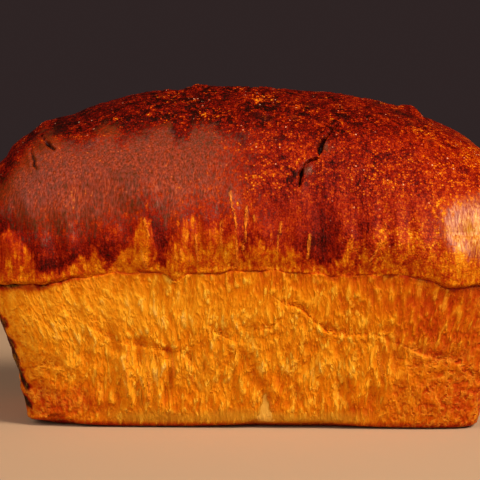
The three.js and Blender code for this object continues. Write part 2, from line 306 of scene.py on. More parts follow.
@dataclass(frozen=True)
class Zone:
    """Where something spreads over a side, by steps over x and z from where it is 0 to where it is 1."""

    amount: float
    x_steps: tuple[Step, ...] = ()
    z_steps: tuple[Step, ...] = ()

    def at(self, x: Array, z: Array) -> Array:
        """The zone's amount at points of a side, which fades out at its edges."""
        total = np.full(len(x), float(self.amount))
        for step in self.x_steps:
            total *= step.at(x)
        for step in self.z_steps:
            total *= step.at(z)
        return total


def strongest(zones: tuple[Zone, ...], x: Array, z: Array) -> Array:
    """The most that any of a list of zones gives at points of a side."""
    return np.maximum.reduce([zone.at(x, z) for zone in zones])


def summed(zones: tuple[Zone, ...], x: Array, z: Array) -> Array:
    """What a list of zones gives together at points of a side."""
    return np.sum([zone.at(x, z) for zone in zones], axis=0)


@dataclass(frozen=True)
class Fold:
    """A fold pressed into a long side, as x and z points along it with its strength there."""

    FADE_BEYOND: ClassVar[float] = 3
    FADE_WITHIN: ClassVar[float] = 4
    DENT_ABOVE: ClassVar[float] = 0.6
    RIDGE_BELOW: ClassVar[float] = 0.7
    RIDGE_REACH: ClassVar[float] = 0.8
    RIDGE_HEIGHT: ClassVar[float] = 0.7

    side: int
    depth: float
    reach: float
    path: tuple[tuple[float, float, float], ...]

    def above(self, x: Array, z: Array) -> Array:
        """How far points are above the fold, in millimetres."""
        path_x, path_z, _ = np.array(self.path).T
        return z - np.interp(x, path_x, path_z)

    def along(self, x: Array, y: Array) -> Array:
        """The fold's strength along the loaf, from 0 past its ends to 1."""
        path_x, _, strength = np.array(self.path).T
        start = rise(x, path_x[0] - self.FADE_BEYOND, path_x[0] + self.FADE_WITHIN)
        end = rise(x, path_x[-1] + self.FADE_BEYOND, path_x[-1] - self.FADE_WITHIN)
        return (np.sign(y) == self.side) * start * end * np.interp(x, path_x, strength)

    def relief(self, x: Array, y: Array, z: Array) -> Array:
        """The dent over the fold and the ridge under it, in millimetres."""
        above = self.above(x, z)
        dent = bell(above - self.DENT_ABOVE * self.reach, self.reach)
        ridge = bell(above + self.RIDGE_BELOW * self.reach, self.RIDGE_REACH * self.reach)
        return self.along(x, y) * self.depth * (self.RIDGE_HEIGHT * ridge - dent)


@dataclass(frozen=True)
class Split:
    """A split of the front crust, as x and z points with the half width there."""

    depth: float
    path: tuple[tuple[float, float, float], ...]


@dataclass(frozen=True)
class Patch:
    """An oval patch of a side, as it is seen from the front, with what changes in it."""

    SOFT_REACH: ClassVar[float] = 0.7

    x: float
    z: float
    half_length: float
    half_height: float
    amount: float = 1

    def share(self, x: Array, z: Array) -> Array:
        """How far out points are, from 0 in the patch's middle to 1 at its edge."""
        return np.hypot((x - self.x) / self.half_length, (z - self.z) / self.half_height)

    def inside(self, x: Array, z: Array) -> Array:
        """How far points are inside the patch, in millimetres, and below 0 outside it."""
        return (1 - self.share(x, z)) * min(self.half_length, self.half_height)

    def soft(self, x: Array, z: Array) -> Array:
        """What the patch changes, fading out at its edge."""
        return self.amount * bell(self.share(x, z), self.SOFT_REACH)


@dataclass(frozen=True)
class Tin:
    """The shape that the tin gave to the lower part."""

    rim_length: float = 222
    rim_width: float = 114
    wall_lean: float = 15
    foot_rounding: float = 2.5
    underside_rise: float = 0.6
    power: float = 11
    rim_height: float = 68

    @property
    def half_x(self) -> float:
        """Half the rim's length."""
        return self.rim_length / 2

    @property
    def half_y(self) -> float:
        """Half the rim's width."""
        return self.rim_width / 2

    def outline_in(self, dx: Array, dy: Array, inset: Array | float) -> Array:
        """The tin's outline, drawn in from its rim by an inset."""
        return outline(dx, dy, self.half_x - inset, self.half_y - inset, self.power)

    def inset(self, z: Array, low: Array | float) -> Array:
        """How far the wall stands in from the rim at a height, over a foot at low."""
        return self.wall_lean * np.clip((self.rim_height - z) / (self.rim_height - low), 0, 1)


@dataclass(frozen=True)
class Seam:
    """The crease where the dough left the tin."""

    height: float = 60.5
    bow: float = 7.5
    bow_power: float = 2.4
    crease: float = 0.9
    lip_height: float = 1.2
    lip_overhang: float = 0.4
    ripples: tuple[Ripple, ...] = (
        Ripple(0.7, 57, 1, 0, 1),
        Ripple(0.6, 69, 0, 1, 2),
        Ripple(0.3, 17, 1, 1),
        Ripple(0.2, 9.3, 1, -1),
    )
    sags: tuple[Place, ...] = (
        Place(-30.3, -1, 2.8, 3.4),
        Place(82, -1, 2.4, 7),
        Place(-90, -1, 1.2, 9),
        Place(22, 1, 3.6, 6),
        Place(-70, 1, 2.2, 11),
    )
    soft: tuple[Place, ...] = (
        Place(40, -1, 0.95, 34),
        Place(-56, -1, 0.7, 14),
        Place(-4, -1, 0.4, 4),
        Place(10, -1, 0.5, 4),
        Place(-29, -1, 0.95, 5),
        Place(-25, 1, 0.6, 20),
    )

    def height_at(self, x: Array, y: Array, tin: Tin) -> Array:
        """The height of the seam over points of the rim."""
        bow = self.bow * (1 - np.abs(x / tin.half_x) ** self.bow_power)
        drift = sum(ripple.at(x, y) for ripple in self.ripples)
        return self.height + bow + drift - gather(self.sags, x, y, tin.half_y)

    def sharpness_at(self, x: Array, y: Array, tin: Tin) -> Array:
        """How sharp the seam is, from 0 to 1."""
        return 1 - gather(self.soft, x, y, tin.half_y)


@dataclass(frozen=True)
class Crown:
    """The part that rose over the tin."""

    height: float = 140.6
    shoulder_height: float = 84
    overhang_x: float = 7
    overhang_y: float = 5
    drift: float = -5
    shoulder_power: float = 4.5
    skirt_power: float = 1.5
    top_power: float = 2.5
    dome_power: float = 2.12

    @property
    def dome_rise(self) -> float:
        """How far the dome stands over the shoulder."""
        return self.height - self.shoulder_height

    def width_share(self, turn: float) -> float:
        """The share of the shoulder's width that is left after a turn up the dome."""
        return math.cos(turn) ** (2 / self.dome_power)

    def dome(self, dx: Array, dy: Array, share: Array | float, tin: Tin) -> Array:
        """Points of the dome, where share is 0 at the top and 1 at the shoulder."""
        power = mix(self.top_power, self.shoulder_power, share)
        half_x = (tin.half_x + self.overhang_x) * share
        half_y = (tin.half_y + self.overhang_y) * share
        flat = outline(dx, dy, half_x, half_y, power)
        up = np.sqrt(1 - np.minimum(share, 1) ** self.dome_power) * np.ones(len(flat))
        z = self.shoulder_height + self.dome_rise * up
        return np.column_stack([flat[:, 0] + self.drift * up, flat[:, 1], z])

    def skirt(self, dx: Array, dy: Array, share: float, tin: Tin, seam: Seam) -> Array:
        """Points between the seam and the shoulder, where share goes from 0 up to 1."""
        spread = 1 - (1 - share) ** self.skirt_power
        power = mix(tin.power, self.shoulder_power, share)
        rim = tin.outline_in(dx, dy, 0)
        lip = seam.lip_overhang * seam.sharpness_at(rim[:, 0], rim[:, 1], tin)
        half_x = tin.half_x + np.maximum(self.overhang_x * spread, lip)
        half_y = tin.half_y + np.maximum(self.overhang_y * spread, lip)
        flat = outline(dx, dy, half_x, half_y, power)
        low = seam.height_at(flat[:, 0], flat[:, 1], tin) + seam.lip_height
        return np.column_stack([flat, mix(low, self.shoulder_height, share)])


@dataclass(frozen=True)
class Crags:
    """The craggy skin of the top, which is strongest round one place along the loaf."""

    start: Step = Step(122, 133)
    middle: float = -19
    spread: Step = Step(42, 22)
    least: float = 0.35

    def at(self, points: Array) -> Array:
        """How craggy points are, from 0 to 1."""
        x, _, z = points.T
        return self.start.at(z) * mix(self.least, 1, self.spread.at(np.abs(x - self.middle)))


@dataclass(frozen=True)
class PaleBand:
    """The pale band of hardly baked skin over the bottom edge, which is paler in front."""

    top: float = 9.5
    waver: float = 2
    fade: float = 5
    middle: float = -6
    spread: Step = Step(62, 42)
    start: Step = Step(1.5, 3.5)
    back_share: float = 0.6

    def at(self, points: Array, waver: Array) -> Array:
        """How pale points are, where waver moves the band's top up and down by a share."""
        x, _, z = points.T
        top = self.top + self.waver * waver
        return rise(z, top, top - self.fade) * self.spread.at(np.abs(x - self.middle))


@dataclass(frozen=True)
class PaleTuft:
    """The palest tuft of the front's bottom edge, which comes to a point at its top."""

    x: float = 6
    z: float = 8
    half_width: float = 2.6
    height: float = 10
    amount: float = 1.3
    edge: Step = Step(1.1, 0.8)

    def at(self, points: Array) -> Array:
        """How pale points are."""
        x, y, z = points.T
        outside = np.abs(x - self.x) / self.half_width + (z - self.z) / self.height
        return self.amount * self.edge.at(outside) * (y < 0)


@dataclass(frozen=True)
class CornerBurn:
    """Where the wall's front left corner is burnt: a streak up the corner, and a spot under it."""

    low: float = 16
    high: float = 51
    spot_height: float = 10
    spot_reach: float = 2.5
    reach_right: float = 3.5
    reach_back: float = 4
    corner_share: float = 0.7
    edge: Step = Step(-0.7, 1.3)
    front: Step = Step(-20, -30)

    def inside(self, points: Array, tin: Tin) -> Array:
        """How far points are inside the streak or the spot, in millimetres."""
        x, y, z = points.T
        inset = tin.inset(z, tin.foot_rounding)
        from_end = x + tin.half_x - inset
        past_corner = y + self.corner_share * (tin.half_y - inset)
        streak = np.minimum(0.6 * (z - self.low), 0.3 * (self.high - z))
        spot = self.spot_reach - np.abs(z - self.spot_height)
        across = np.minimum(self.reach_right - from_end, self.reach_back - 0.6 * past_corner)
        return np.minimum(across, np.maximum(streak, spot))


@dataclass(frozen=True)
class FineHeights:
    """The heights of the crust's finer relief, in millimetres, and where it starts and ends."""

    lumps: tuple[float, float] = (0.3, 1.3)
    lumps_start: Step = Step(5, 15)
    lumps_grow: Step = Step(46, 30)
    gathers: float = 2.6
    strands: tuple[float, float] = (0.2, 0.5)
    strands_fade: Step = Step(104, 84)
    unevenness: float = 0.3
    pits: float = 0.22
    small_pits: float = 0.12
    crags: float = 1.1
    ridges: float = 0.4


@dataclass(frozen=True)
class Browning:
    """How brown the crust is, from 0, pale, to 1, nearly black, and what makes it browner."""

    wall: float = 0.29
    # Painted shade on the underside and bottom edge, under the loaf, fading out a few millimetres up.
    foot: float = 0.55
    foot_shade_end: Step = Step(1, 4)
    glaze: float = 0.65
    gold: float = 0.4
    red: float = 0.54
    gold_to_red: Step = Step(66, 96)
    burnt_corner: float = 0.9
    leftward: float = 0.0006
    towards_top: Zone = Zone(0.12, (), (Step(114, 132),))
    mottled_top: Zone = Zone(0.05, (), (Step(122, 134),))
    under_seam: Zone = Zone(0.04, (), (Step(54, 63),))
    towards_ends: tuple[Zone, ...] = (
        Zone(0.11, (Step(20, 90),)),
        Zone(0.06, (Step(88, 108),)),
        Zone(0.06, (Step(-88, -108),)),
    )


@dataclass
class Skin:
    """The points and faces of the loaf's skin before its relief."""

    points: list[Array] = field(default_factory=list)
    wall: list[Array] = field(default_factory=list)
    loose: list[Array] = field(default_factory=list)
    faces: list[tuple[int, ...]] = field(default_factory=list)
    count: int = 0

    def add(self, points: Array, wall: float, loose: float) -> Array:
        """Adds points.

        Args:
            points: Rows of x, y and z.
            wall: 1 for points of the tin-shaped wall, 0 for the crown.
            loose: How much of the relief the points get.

        Returns:
            The new points' numbers.
        """
        numbers = np.arange(self.count, self.count + len(points))
        self.points.append(points)
        self.wall.append(np.full(len(points), wall))
        self.loose.append(np.full(len(points), loose))
        self.count += len(points)
        return numbers

    def join(self, low: Array, high: Array) -> None:
        """Adds the faces between two rings with as many points."""
        following = np.roll(low, -1)
        above = np.roll(high, -1)
        self.faces.extend(np.column_stack([low, following, above, high]).tolist())

    def join_double(self, inner: Array, outer: Array) -> None:
        """Adds the faces between a ring and the next one out, with twice the points."""
        following = np.roll(inner, -1)
        start = outer[0::2]
        middle = outer[1::2]
        end = np.roll(start, -1)
        self.faces.extend(np.column_stack([inner, following, middle]).tolist())
        self.faces.extend(np.column_stack([inner, middle, start]).tolist())
        self.faces.extend(np.column_stack([following, end, middle]).tolist())


@dataclass
class BriocheLoaf:
    """The whole loaf, as one closed skin with its relief and its baked colours."""

    name: str = "brioche_loaf"
    tin: Tin = Tin()
    seam: Seam = Seam()
    crown: Crown = Crown()
    cells_x: int = 184
    cells_y: int = 92
    wall_rows: int = 55
    skirt_rows: int = 19
    dome_rows: int = 41
    cap_turn: float = math.pi / 4
    thirds: tuple[float, ...] = (0.33, 0.66, 1)
    crease_rows: tuple[tuple[float, float, float], ...] = (
        (-0.5, -0.1, 1), (-0.2, -0.5, 1), (0, -1, 0.5), (0.2, -0.5, 0), (0.5, 0.5, 0),
    )
    flat_share: float = 0.82
    flat_rings: tuple[float, float] = (0.5, 0.85)
    split_margins: tuple[float, float] = (3.6, 2.0)
    core_half_length: float = 62
    core_low: float = 20
    settled_height: float = 12
    front_reach: float = 30
    back_shift: float = 6
    back_stretch: float = 0.94
    swell: Swell = Swell()
    wall_swell: float = 0.75
    crown_swell: float = 1.25
    wrinkles: UprightWrinkles = UprightWrinkles()
    strands: UprightStrands = UprightStrands()
    heights: FineHeights = FineHeights()
    crags: Crags = Crags()
    browning: Browning = Browning()
    pale_band: PaleBand = PaleBand()
    pale_tuft: PaleTuft = PaleTuft()
    corner_burn: CornerBurn = CornerBurn()
    lean_left: Zone = Zone(0.3, (Step(-25, -80),), (Step(22, 48),))
    lean_right: Zone = Zone(0.2, (Step(40, 90),))
    lean_middle: float = 34
    lean_top: float = 64
    gathered_front: Zone = Zone(1, (Step(-66, -57), Step(-22, -36)), (Step(8, 14), Step(36, 30)))
    gathered_back: Zone = Zone(0.8, (Step(20, 30), Step(66, 56)), (Step(8, 14), Step(36, 30)))
    rumples: tuple[Zone, ...] = (
        Zone(0.75, (Step(40, 78),), (Step(44, 26),)),
        Zone(0.75, (Step(-52, -90),), (Step(44, 26),)),
        Zone(0.5, (Step(-40, -62),), (Step(40, 48),)),
        Zone(0.7, (Step(84, 100),)),
        Zone(0.7, (Step(-84, -100),)),
    )
    blistered_front: tuple[Zone, ...] = (
        Zone(1, (Step(-15, 1),), (Step(84, 106),)),
        Zone(0.7, (Step(25, 45),), (Step(63, 80),)),
        Zone(0.9, (Step(-84, -98),), (Step(96, 108),)),
    )
    blistered_back: Zone = Zone(0.6, (), (Step(88, 110),))
    blistered_top: Zone = Zone(1, (), (Step(108, 122),))
    burnt_top: Zone = Zone(1, (), (Step(110, 126),))
    # A painted shadow: a dark spot beside the knob on top, on its unlit side.
    knob_shadow_spot: Vector3 = (64, -14, 131)
    lifted: tuple[Place, ...] = (
        Place(-86, -1, 1.7, 14),
        Place(-80, -1, 1, 5),
        Place(2, -1, 1.1, 4),
        Place(16, -1, 1.5, 28),
        Place(31, -1, 0.7, 9),
        Place(58, 1, 2.2, 26),
        Place(-40, 1, 1.4, 22),
    )
    knobs: tuple[Knob, ...] = (
        Knob(-102, 0, 115, 2.4, 9),
        Knob(-88, -4, 124, 3.2, 9),
        Knob(-24, -3, 140, 2, 6),
        Knob(-14, 0, 140, 1.6, 13),
        Knob(4, -2, 139, 1.2, 12),
        Knob(58, 0, 134, 0.9, 8),
        Knob(68.2, -2, 131.5, 4.3, 5.5),
        Knob(97, -6, 114, 1.2, 8),
        Knob(-100, -38, 24, -2.8, 15),
        Knob(-62, -45, 124, 1.3, 6),
        Knob(38, -47, 117, 1.8, 9),
        Knob(-50, 30, 133, 2.4, 12),
        Knob(44, 38, 126, 2.0, 10),
        Knob(5, 52, 112, -1.6, 9),
    )
    folds: tuple[Fold, ...] = (
        Fold(
            -1, 1.2, 1.8,
            ((-83, 55, 0.2), (-75, 50, 0.3), (-68, 45.5, 0.3), (-59, 39, 0.5), (-52, 37, 0.4),
             (-44, 35.5, 0.7), (-37, 34, 0.9), (-32, 32.5, 0.7)),
        ),
        Fold(-1, 0.8, 1.6, ((-31, 33.3, 1), (-29, 33, 1), (-25, 30.5, 1), (-23, 26, 0.6))),
        Fold(
            -1, 1.1, 1.6,
            ((8, 59, 0.4), (13, 54.8, 0.7), (21, 52.4, 1), (27, 46.3, 0.8), (31, 43, 1), (37, 41, 0.9),
             (52, 41.5, 0.4), (58, 38, 0.4)),
        ),
        Fold(-1, 0.8, 1.6, ((56, 38.5, 0.4), (62, 37.3, 0.9), (71, 33, 0.7), (83, 30, 0.4), (96, 27, 0.4))),
        Fold(-1, 0.9, 1.4, ((-18, 41.6, 1), (-12.6, 41.4, 1), (-9.3, 39.4, 0.7), (-4, 37.4, 0.5))),
        Fold(-1, 0.7, 1.4, ((-3, 42.8, 0.7), (8, 43.4, 0.7), (13, 47.5, 1))),
        Fold(-1, 0.5, 1.3, ((-96, 24.5, 0.6), (-88, 26.7, 1), (-81, 26.3, 1), (-74, 24, 0.6))),
        Fold(1, 1.1, 2, ((14, 26, 1), (26, 36, 0.6), (48, 41, 1), (70, 50, 0.6))),
        Fold(1, 0.9, 1.8, ((-60, 33, 1), (-38, 41, 0.7), (-20, 46, 1))),
    )
    splits: tuple[Split, ...] = (
        Split(
            3,
            ((36.2, 127.8, 0.3), (33.8, 125, 0.3), (31.5, 122.5, 0.5), (29.2, 119.8, 1), (28.6, 117.1, 0.8),
             (28.2, 114.4, 0.3), (24.8, 113.6, 0.2), (22.3, 112.2, 0.5), (21.3, 109.8, 0.8),
             (20.8, 106.6, 0.6), (20.2, 103.5, 0.3)),
        ),
        Split(
            2,
            ((-88.9, 123, 0.2), (-87.2, 121.2, 0.5), (-85.3, 119.6, 0.6), (-83.2, 118.2, 0.5),
             (-80.8, 116.9, 0.2)),
        ),
        Split(
            1.6,
            ((-90.9, 116, 0.2), (-90.4, 114.3, 0.5), (-89.3, 112.6, 0.3), (-89.4, 110.8, 0.5),
             (-88, 109.5, 0.2)),
        ),
    )
    glaze_edge: tuple[tuple[float, float], ...] = (
        (-112, 82), (-104, 80), (-100, 84), (-98, 85), (-95, 83), (-91.5, 77), (-87, 68), (-80, 68),
        (-74, 70), (-69, 73), (-62, 76), (-59, 71), (-56, 70), (-54, 74), (-51, 78), (-48, 83), (-45, 88),
        (-43, 90), (-40, 89), (-38, 78),
        (-36, 70), (-34, 71), (-33, 80), (-31, 86), (-27, 89), (-22, 90), (-17, 87), (-10, 84), (-5, 84),
        (0, 80), (6, 79), (12, 78), (18, 76), (24, 75), (28, 71), (37, 71), (40, 80), (43, 84), (46, 77),
        (48, 76), (50, 84), (53, 89), (57, 87), (60, 88), (66, 89), (72, 91), (78, 97), (90, 101), (112, 101),
    )
    tongues: tuple[Patch, ...] = (
        Patch(-9, 89.5, 2.2, 4),
        Patch(-2, 82, 2.6, 9),
        Patch(17.2, 86.5, 3.2, 5),
        Patch(44.2, 72, 1.8, 3),
        Patch(56.5, 88, 1.3, 2.2),
        Patch(57.8, 81.5, 1.4, 1.4),
    )
    haze_top: tuple[tuple[float, float], ...] = (
        (-116, 96), (-102, 104), (-99, 108), (-95, 112.5), (-92, 117), (-88, 120.5), (-84, 124.5),
        (-78, 121), (-71, 120.4), (-66, 121.5), (-59, 124.4), (-54, 120.6), (-49, 123.3), (-42, 126),
        (-33, 128.5), (-31, 121.5), (-26, 122.3), (-24, 127), (-16, 127.4), (-12, 123.5), (-7, 122),
    )
    haze_low: tuple[tuple[float, float], ...] = (
        (-116, 94), (-101, 91), (-96, 87), (-91, 84), (-84, 83), (-77, 84), (-69, 85), (-61, 86), (-49, 90),
        (-41, 95.5), (-34, 89), (-27, 90), (-26, 94.5), (-7, 95.5),
    )
    haze_left: float = -108
    haze_right: float = -3.3
    facets: tuple[Patch, ...] = (
        Patch(-59, 124, 5.6, 3.8),
        Patch(30.6, 117.8, 2.2, 2.0),
        Patch(24.2, 110.1, 2.0, 1.8),
        Patch(99, 87, 22, 14),
        Patch(-90.5, 125, 2.6, 2.6),
    )
    ridges: tuple[tuple[tuple[float, float], ...], ...] = (
        ((-8.1, 101), (-4.7, 86), (-5.3, 70)),
        ((-11.2, 90), (-11.2, 79)),
        ((-1.1, 95.4), (-1.4, 84), (-2.7, 77.4)),
        ((1.8, 92), (1.8, 86)),
        ((13.2, 89), (11.1, 76.6)),
        ((24.6, 83.8), (23.8, 74.2)),
        ((-21.8, 83.7), (-21.1, 72.3)),
        ((-31.2, 77.5), (-30, 74)),
        ((-28, 77.5), (-28, 73.3)),
        ((-42.6, 90), (-41, 83.2)),
        ((-44.7, 78.2), (-42.1, 69.7)),
        ((54.4, 90.8), (55.2, 87.6)),
        ((54, 82), (51, 76), (48.2, 71.4)),
        ((41.6, 82), (41.8, 77.6)),
        ((-50.9, 34), (-51.4, 24), (-51.8, 14.6)),
        ((-44.7, 34.2), (-42, 24.7), (-42.6, 12.5)),
        ((-32.4, 31), (-31.6, 23)),
        ((-25.5, 29), (-24.1, 20)),
        ((52.7, 34.5), (53.6, 28.6), (55.3, 23.3)),
        ((6.7, 17), (9.2, 8.2)),
    )
    shades: tuple[Patch, ...] = (
        Patch(-75, 78, 16, 8, 0.1),
        Patch(-86, 69, 18, 7, 0.13),
        Patch(-59, 74, 3, 6, 0.12),
        Patch(2, 103, 13, 18, -0.03),
        Patch(-45, 106, 22, 13, 0.05),
        Patch(-62, 128, 30, 7, 0.05),
        Patch(-25, 96, 22, 12, -0.035),
        Patch(4, 88, 14, 9, 0.02),
        Patch(29, 84, 10, 17, 0.24),
        Patch(-36, 82, 6, 12, 0.14),
        Patch(-2, 84, 4, 9, 0.08),
        Patch(30.6, 117.8, 3, 3, 0.14),
        Patch(24.2, 110.1, 3, 3, 0.14),
        Patch(95, 86, 20, 15, -0.27),
        Patch(80, 45, 26, 24, 0.07),
        Patch(90, 15, 34, 18, 0.07),
        Patch(-92, 10, 26, 17, 0.16),
        Patch(-70, 11, 24, 13, 0.14),
        Patch(-105, 80, 18, 15, 0.2),
        Patch(-94, 120.6, 3.4, 3, 0.22),
        Patch(-101, 112, 4, 3.4, 0.22),
        Patch(-103, 105, 4, 3, 0.18),
        Patch(-82, 126, 4, 3, 0.22),
        Patch(-87.5, 118, 3, 1.6, 0.14),
        Patch(-60, 52, 40, 16, -0.05),
        Patch(12, 19, 16, 9, 0.07),
        # Painted sheen: a paler spot high on the crown's right end.
        Patch(98, 110, 9, 9, -0.08),
        Patch(62, 55, 50, 9, 0.05),
        Patch(38, 69, 50, 8, 0.08),
        Patch(12, 9, 80, 9, 0.05),
        # Painted sheen: widens the paler sheen on the crown's right end.
        Patch(72, 98, 13, 9, -0.08),
        Patch(-58, 98, 20, 8, -0.05),
        Patch(-24, 119, 22, 7, 0.04),
        Patch(32, 108, 26, 9, 0.035),
    )

    def __post_init__(self) -> None:
        """Draws the noises that the relief and the colours share."""
        self.coarse = DoughNoise(11)
        self.fine = DoughNoise(23)
        self.tone = DoughNoise(37)

    def edge_lift(self, x: Array, y: Array) -> Array:
        """How far the bottom edge stands above the table."""
        return gather(self.lifted, x, y, self.tin.half_y)

    def flat(self, dx: Array, dy: Array, size: Array | float) -> Array:
        """Points of the flat that the loaf rests on, where size is a share of the whole flat."""
        inset = self.tin.wall_lean + self.tin.foot_rounding
        half_x = (self.tin.half_x - inset) * self.flat_share * size
        half_y = (self.tin.half_y - inset) * self.flat_share * size
        return np.column_stack([half_x * dx, half_y * dy, np.zeros(len(dx))])

    def underside(self, dx: Array, dy: Array, share: float) -> Array:
        """Points between the flat and the underside's uneven edge, which it rises to."""
        points = mix(self.flat(dx, dy, 1), self.foot(dx, dy, 0), share)
        edge = self.tin.underside_rise + self.edge_lift(points[:, 0], points[:, 1])
        points[:, 2] = edge * share**2
        return points

    def foot(self, dx: Array, dy: Array, share: float) -> Array:
        """Points of the rounding between the underside and the wall."""
        turn = share * math.pi / 2
        inset = self.tin.wall_lean + self.tin.foot_rounding * (1 - math.sin(turn))
        flat = self.tin.outline_in(dx, dy, inset)
        low = self.tin.underside_rise + self.tin.foot_rounding * (1 - math.cos(turn))
        return np.column_stack([flat, low + self.edge_lift(flat[:, 0], flat[:, 1])])

    def side_wall(self, dx: Array, dy: Array, share: float) -> Array:
        """Points of the wall, where share goes from the foot's rounding up to the seam."""
        rim = self.tin.outline_in(dx, dy, 0)
        low = self.tin.underside_rise + self.tin.foot_rounding + self.edge_lift(rim[:, 0], rim[:, 1])
        top = self.seam.height_at(rim[:, 0], rim[:, 1], self.tin) - self.seam.lip_height
        z = mix(low, top, share)
        return np.column_stack([self.tin.outline_in(dx, dy, self.tin.inset(z, low)), z])

    def crease(self, dx: Array, dy: Array, up: float, out: float) -> Array:
        """Points of the crease, up from the seam and out from the wall by shares of its lip."""
        rim = self.tin.outline_in(dx, dy, 0)
        z = self.seam.height_at(rim[:, 0], rim[:, 1], self.tin)
        sharp = self.seam.sharpness_at(rim[:, 0], rim[:, 1], self.tin)
        depth = out * sharp * (self.seam.lip_overhang if out > 0 else self.seam.crease)
        inset = self.tin.inset(z, self.tin.foot_rounding) - depth
        return np.column_stack([self.tin.outline_in(dx, dy, inset), z + up * self.seam.lip_height])

    def directions(self, coarseness: int) -> tuple[Array, Array]:
        """The directions of a ring's points, anticlockwise from the corner at -X -Y."""
        along = np.linspace(-1, 1, self.cells_x // coarseness + 1)[:-1]
        across = np.linspace(-1, 1, self.cells_y // coarseness + 1)[:-1]
        one_x = np.ones(len(along))
        one_y = np.ones(len(across))
        dx = np.concatenate([along, one_y, -along, -one_y])
        dy = np.concatenate([-one_x, across, one_x, -across])
        return dx, dy

    def close(self, skin: Skin, ring: Array, coarseness: int, point_at: PointAt, up: bool) -> None:
        """Closes a ring with a grid of faces.

        Args:
            skin: What the points and faces are added to.
            ring: The numbers of the ring's points.
            coarseness: How many of the finest cells go into one.
            point_at: Gives the points from their directions and shares of the way out.
            up: Whether the faces look up.
        """
        count_x = self.cells_x // coarseness
        count_y = self.cells_y // coarseness
        grid = np.zeros((count_x + 1, count_y + 1), dtype=int)
        grid[:-1, 0] = ring[:count_x]
        grid[-1, :-1] = ring[count_x : count_x + count_y]
        grid[:0:-1, -1] = ring[count_x + count_y : 2 * count_x + count_y]
        grid[0, :0:-1] = ring[2 * count_x + count_y :]
        u, v = np.meshgrid(
            np.linspace(-1, 1, count_x + 1)[1:-1],
            np.linspace(-1, 1, count_y + 1)[1:-1],
            indexing="ij",
        )
        share = np.maximum(np.abs(u), np.abs(v)).ravel()
        unit = np.where(share > 0, share, 1)
        dx = np.where(share > 0, u.ravel() / unit, 1)
        inside = skin.add(point_at(dx, v.ravel() / unit, share), 0.0, float(up))
        grid[1:-1, 1:-1] = inside.reshape(u.shape)
        corners = [grid[:-1, :-1], grid[1:, :-1], grid[1:, 1:], grid[:-1, 1:]]
        quads = np.stack(corners if up else corners[::-1], axis=-1)
        skin.faces.extend(quads.reshape(-1, 4).tolist())

    def lay_skin(self) -> Skin:
        """The skin before its relief, from the middle of the underside out and up."""
        skin = Skin()
        inner, outer = self.flat_rings
        quarter = skin.add(self.flat(*self.directions(4), inner), 1, 0)
        self.close(skin, quarter, 4, lambda dx, dy, share: self.flat(dx, dy, inner * share), False)
        half = skin.add(self.flat(*self.directions(2), outer), 1, 0)
        skin.join_double(quarter, half)
        dx, dy = self.directions(1)
        ring = skin.add(self.flat(dx, dy, 1), 1, 0)
        skin.join_double(half, ring)
        rows: list[tuple[Array, float, float]] = []
        rows += [(self.underside(dx, dy, share), 1, 0) for share in self.thirds]
        rows += [(self.foot(dx, dy, share), 1, 0) for share in self.thirds]
        for row in range(1, self.wall_rows + 1):
            rows.append((self.side_wall(dx, dy, row / self.wall_rows), 1, 1))
        for up, out, wall in self.crease_rows:
            rows.append((self.crease(dx, dy, up, out), wall, 1))
        for row in range(self.skirt_rows + 1):
            share = row / self.skirt_rows
            rows.append((self.crown.skirt(dx, dy, share, self.tin, self.seam), 0, 1))
        for row in range(1, self.dome_rows + 1):
            share = self.crown.width_share(self.cap_turn * row / self.dome_rows)
            rows.append((self.crown.dome(dx, dy, share, self.tin), 0, 1))
        for points, wall, loose in rows:
            following = skin.add(points, wall, loose)
            skin.join(ring, following)
            ring = following
        cap_share = self.crown.width_share(self.cap_turn)
        self.close(
            skin,
            ring,
            1,
            lambda dx, dy, share: self.crown.dome(dx, dy, share * cap_share, self.tin),
            True,
        )
        return skin

    def outward(self, points: Array) -> Array:
        """The way that relief goes at points: out from a core line inside the loaf."""
        core = points.copy()
        core[:, 0] = np.clip(points[:, 0], -self.core_half_length, self.core_half_length)
        core[:, 1] = 0
        core[:, 2] = np.clip(points[:, 2], self.core_low, self.crown.shoulder_height)
        way = points - core
        return way / np.linalg.norm(way, axis=1, keepdims=True)

    def main_relief(self, points: Array, wall: Array) -> Array:
        """The swellings, knobs, folds and strands that give the loaf its form, in millimetres."""
        x, y, z = points.T
        swell = mix(self.crown_swell, self.wall_swell, wall) * self.swell.at(points)
        upright = mix(self.strands.at(points), self.wrinkles.at(points), wall)
        out = np.clip(z / self.settled_height, 0, 1) * (swell + upright)
        for knob in self.knobs:
            out += knob.relief(points)
        broken = np.clip(0.7 + 1.1 * self.fine.at(points, across=9), 0.1, 1.2)
        for fold in self.folds:
            out += wall * broken * fold.relief(x, y, z)
        return out

    def front(self, points: Array) -> Array:
        """How far points lie towards the front: 1 there, 0 at the back, and blended over the ends."""
        return on_side(points[:, 1], -1, self.front_reach)

    def leaned(self, points: Array) -> Array:
        """Points slid along X with their height, so that upright wrinkles lean as the dough did."""
        x, y, z = points.T
        lean = self.front(points) * (self.lean_left.at(x, z) - self.lean_right.at(x, z))
        return np.column_stack([x + lean * (np.minimum(z, self.lean_top) - self.lean_middle), y, z])

    def lumps(self, points: Array) -> Array:
        """Upright lumps of the skin that lay against the tin, and round ones at its low corners."""
        bent = self.leaned(points) + 1.2 * self.coarse.at(points, across=16)[:, None]
        ribs = self.fine.ridges(bent, across=5.2, upright=26) - 0.5
        ribs += 0.5 * self.coarse.at(bent + 50, across=3.6, upright=9)
        round_ones = 0.7 * self.fine.at(points + 20, across=5.5) + 0.6 * self.coarse.at(points, across=3.6)
        return mix(ribs, round_ones, self.rumpled(points))

    def rumpled(self, points: Array) -> Array:
        """Where the wall is rumpled all ways instead of upright: most at its low corners, from 0 to 1."""
        x, _, z = points.T
        return strongest(self.rumples, x, z)

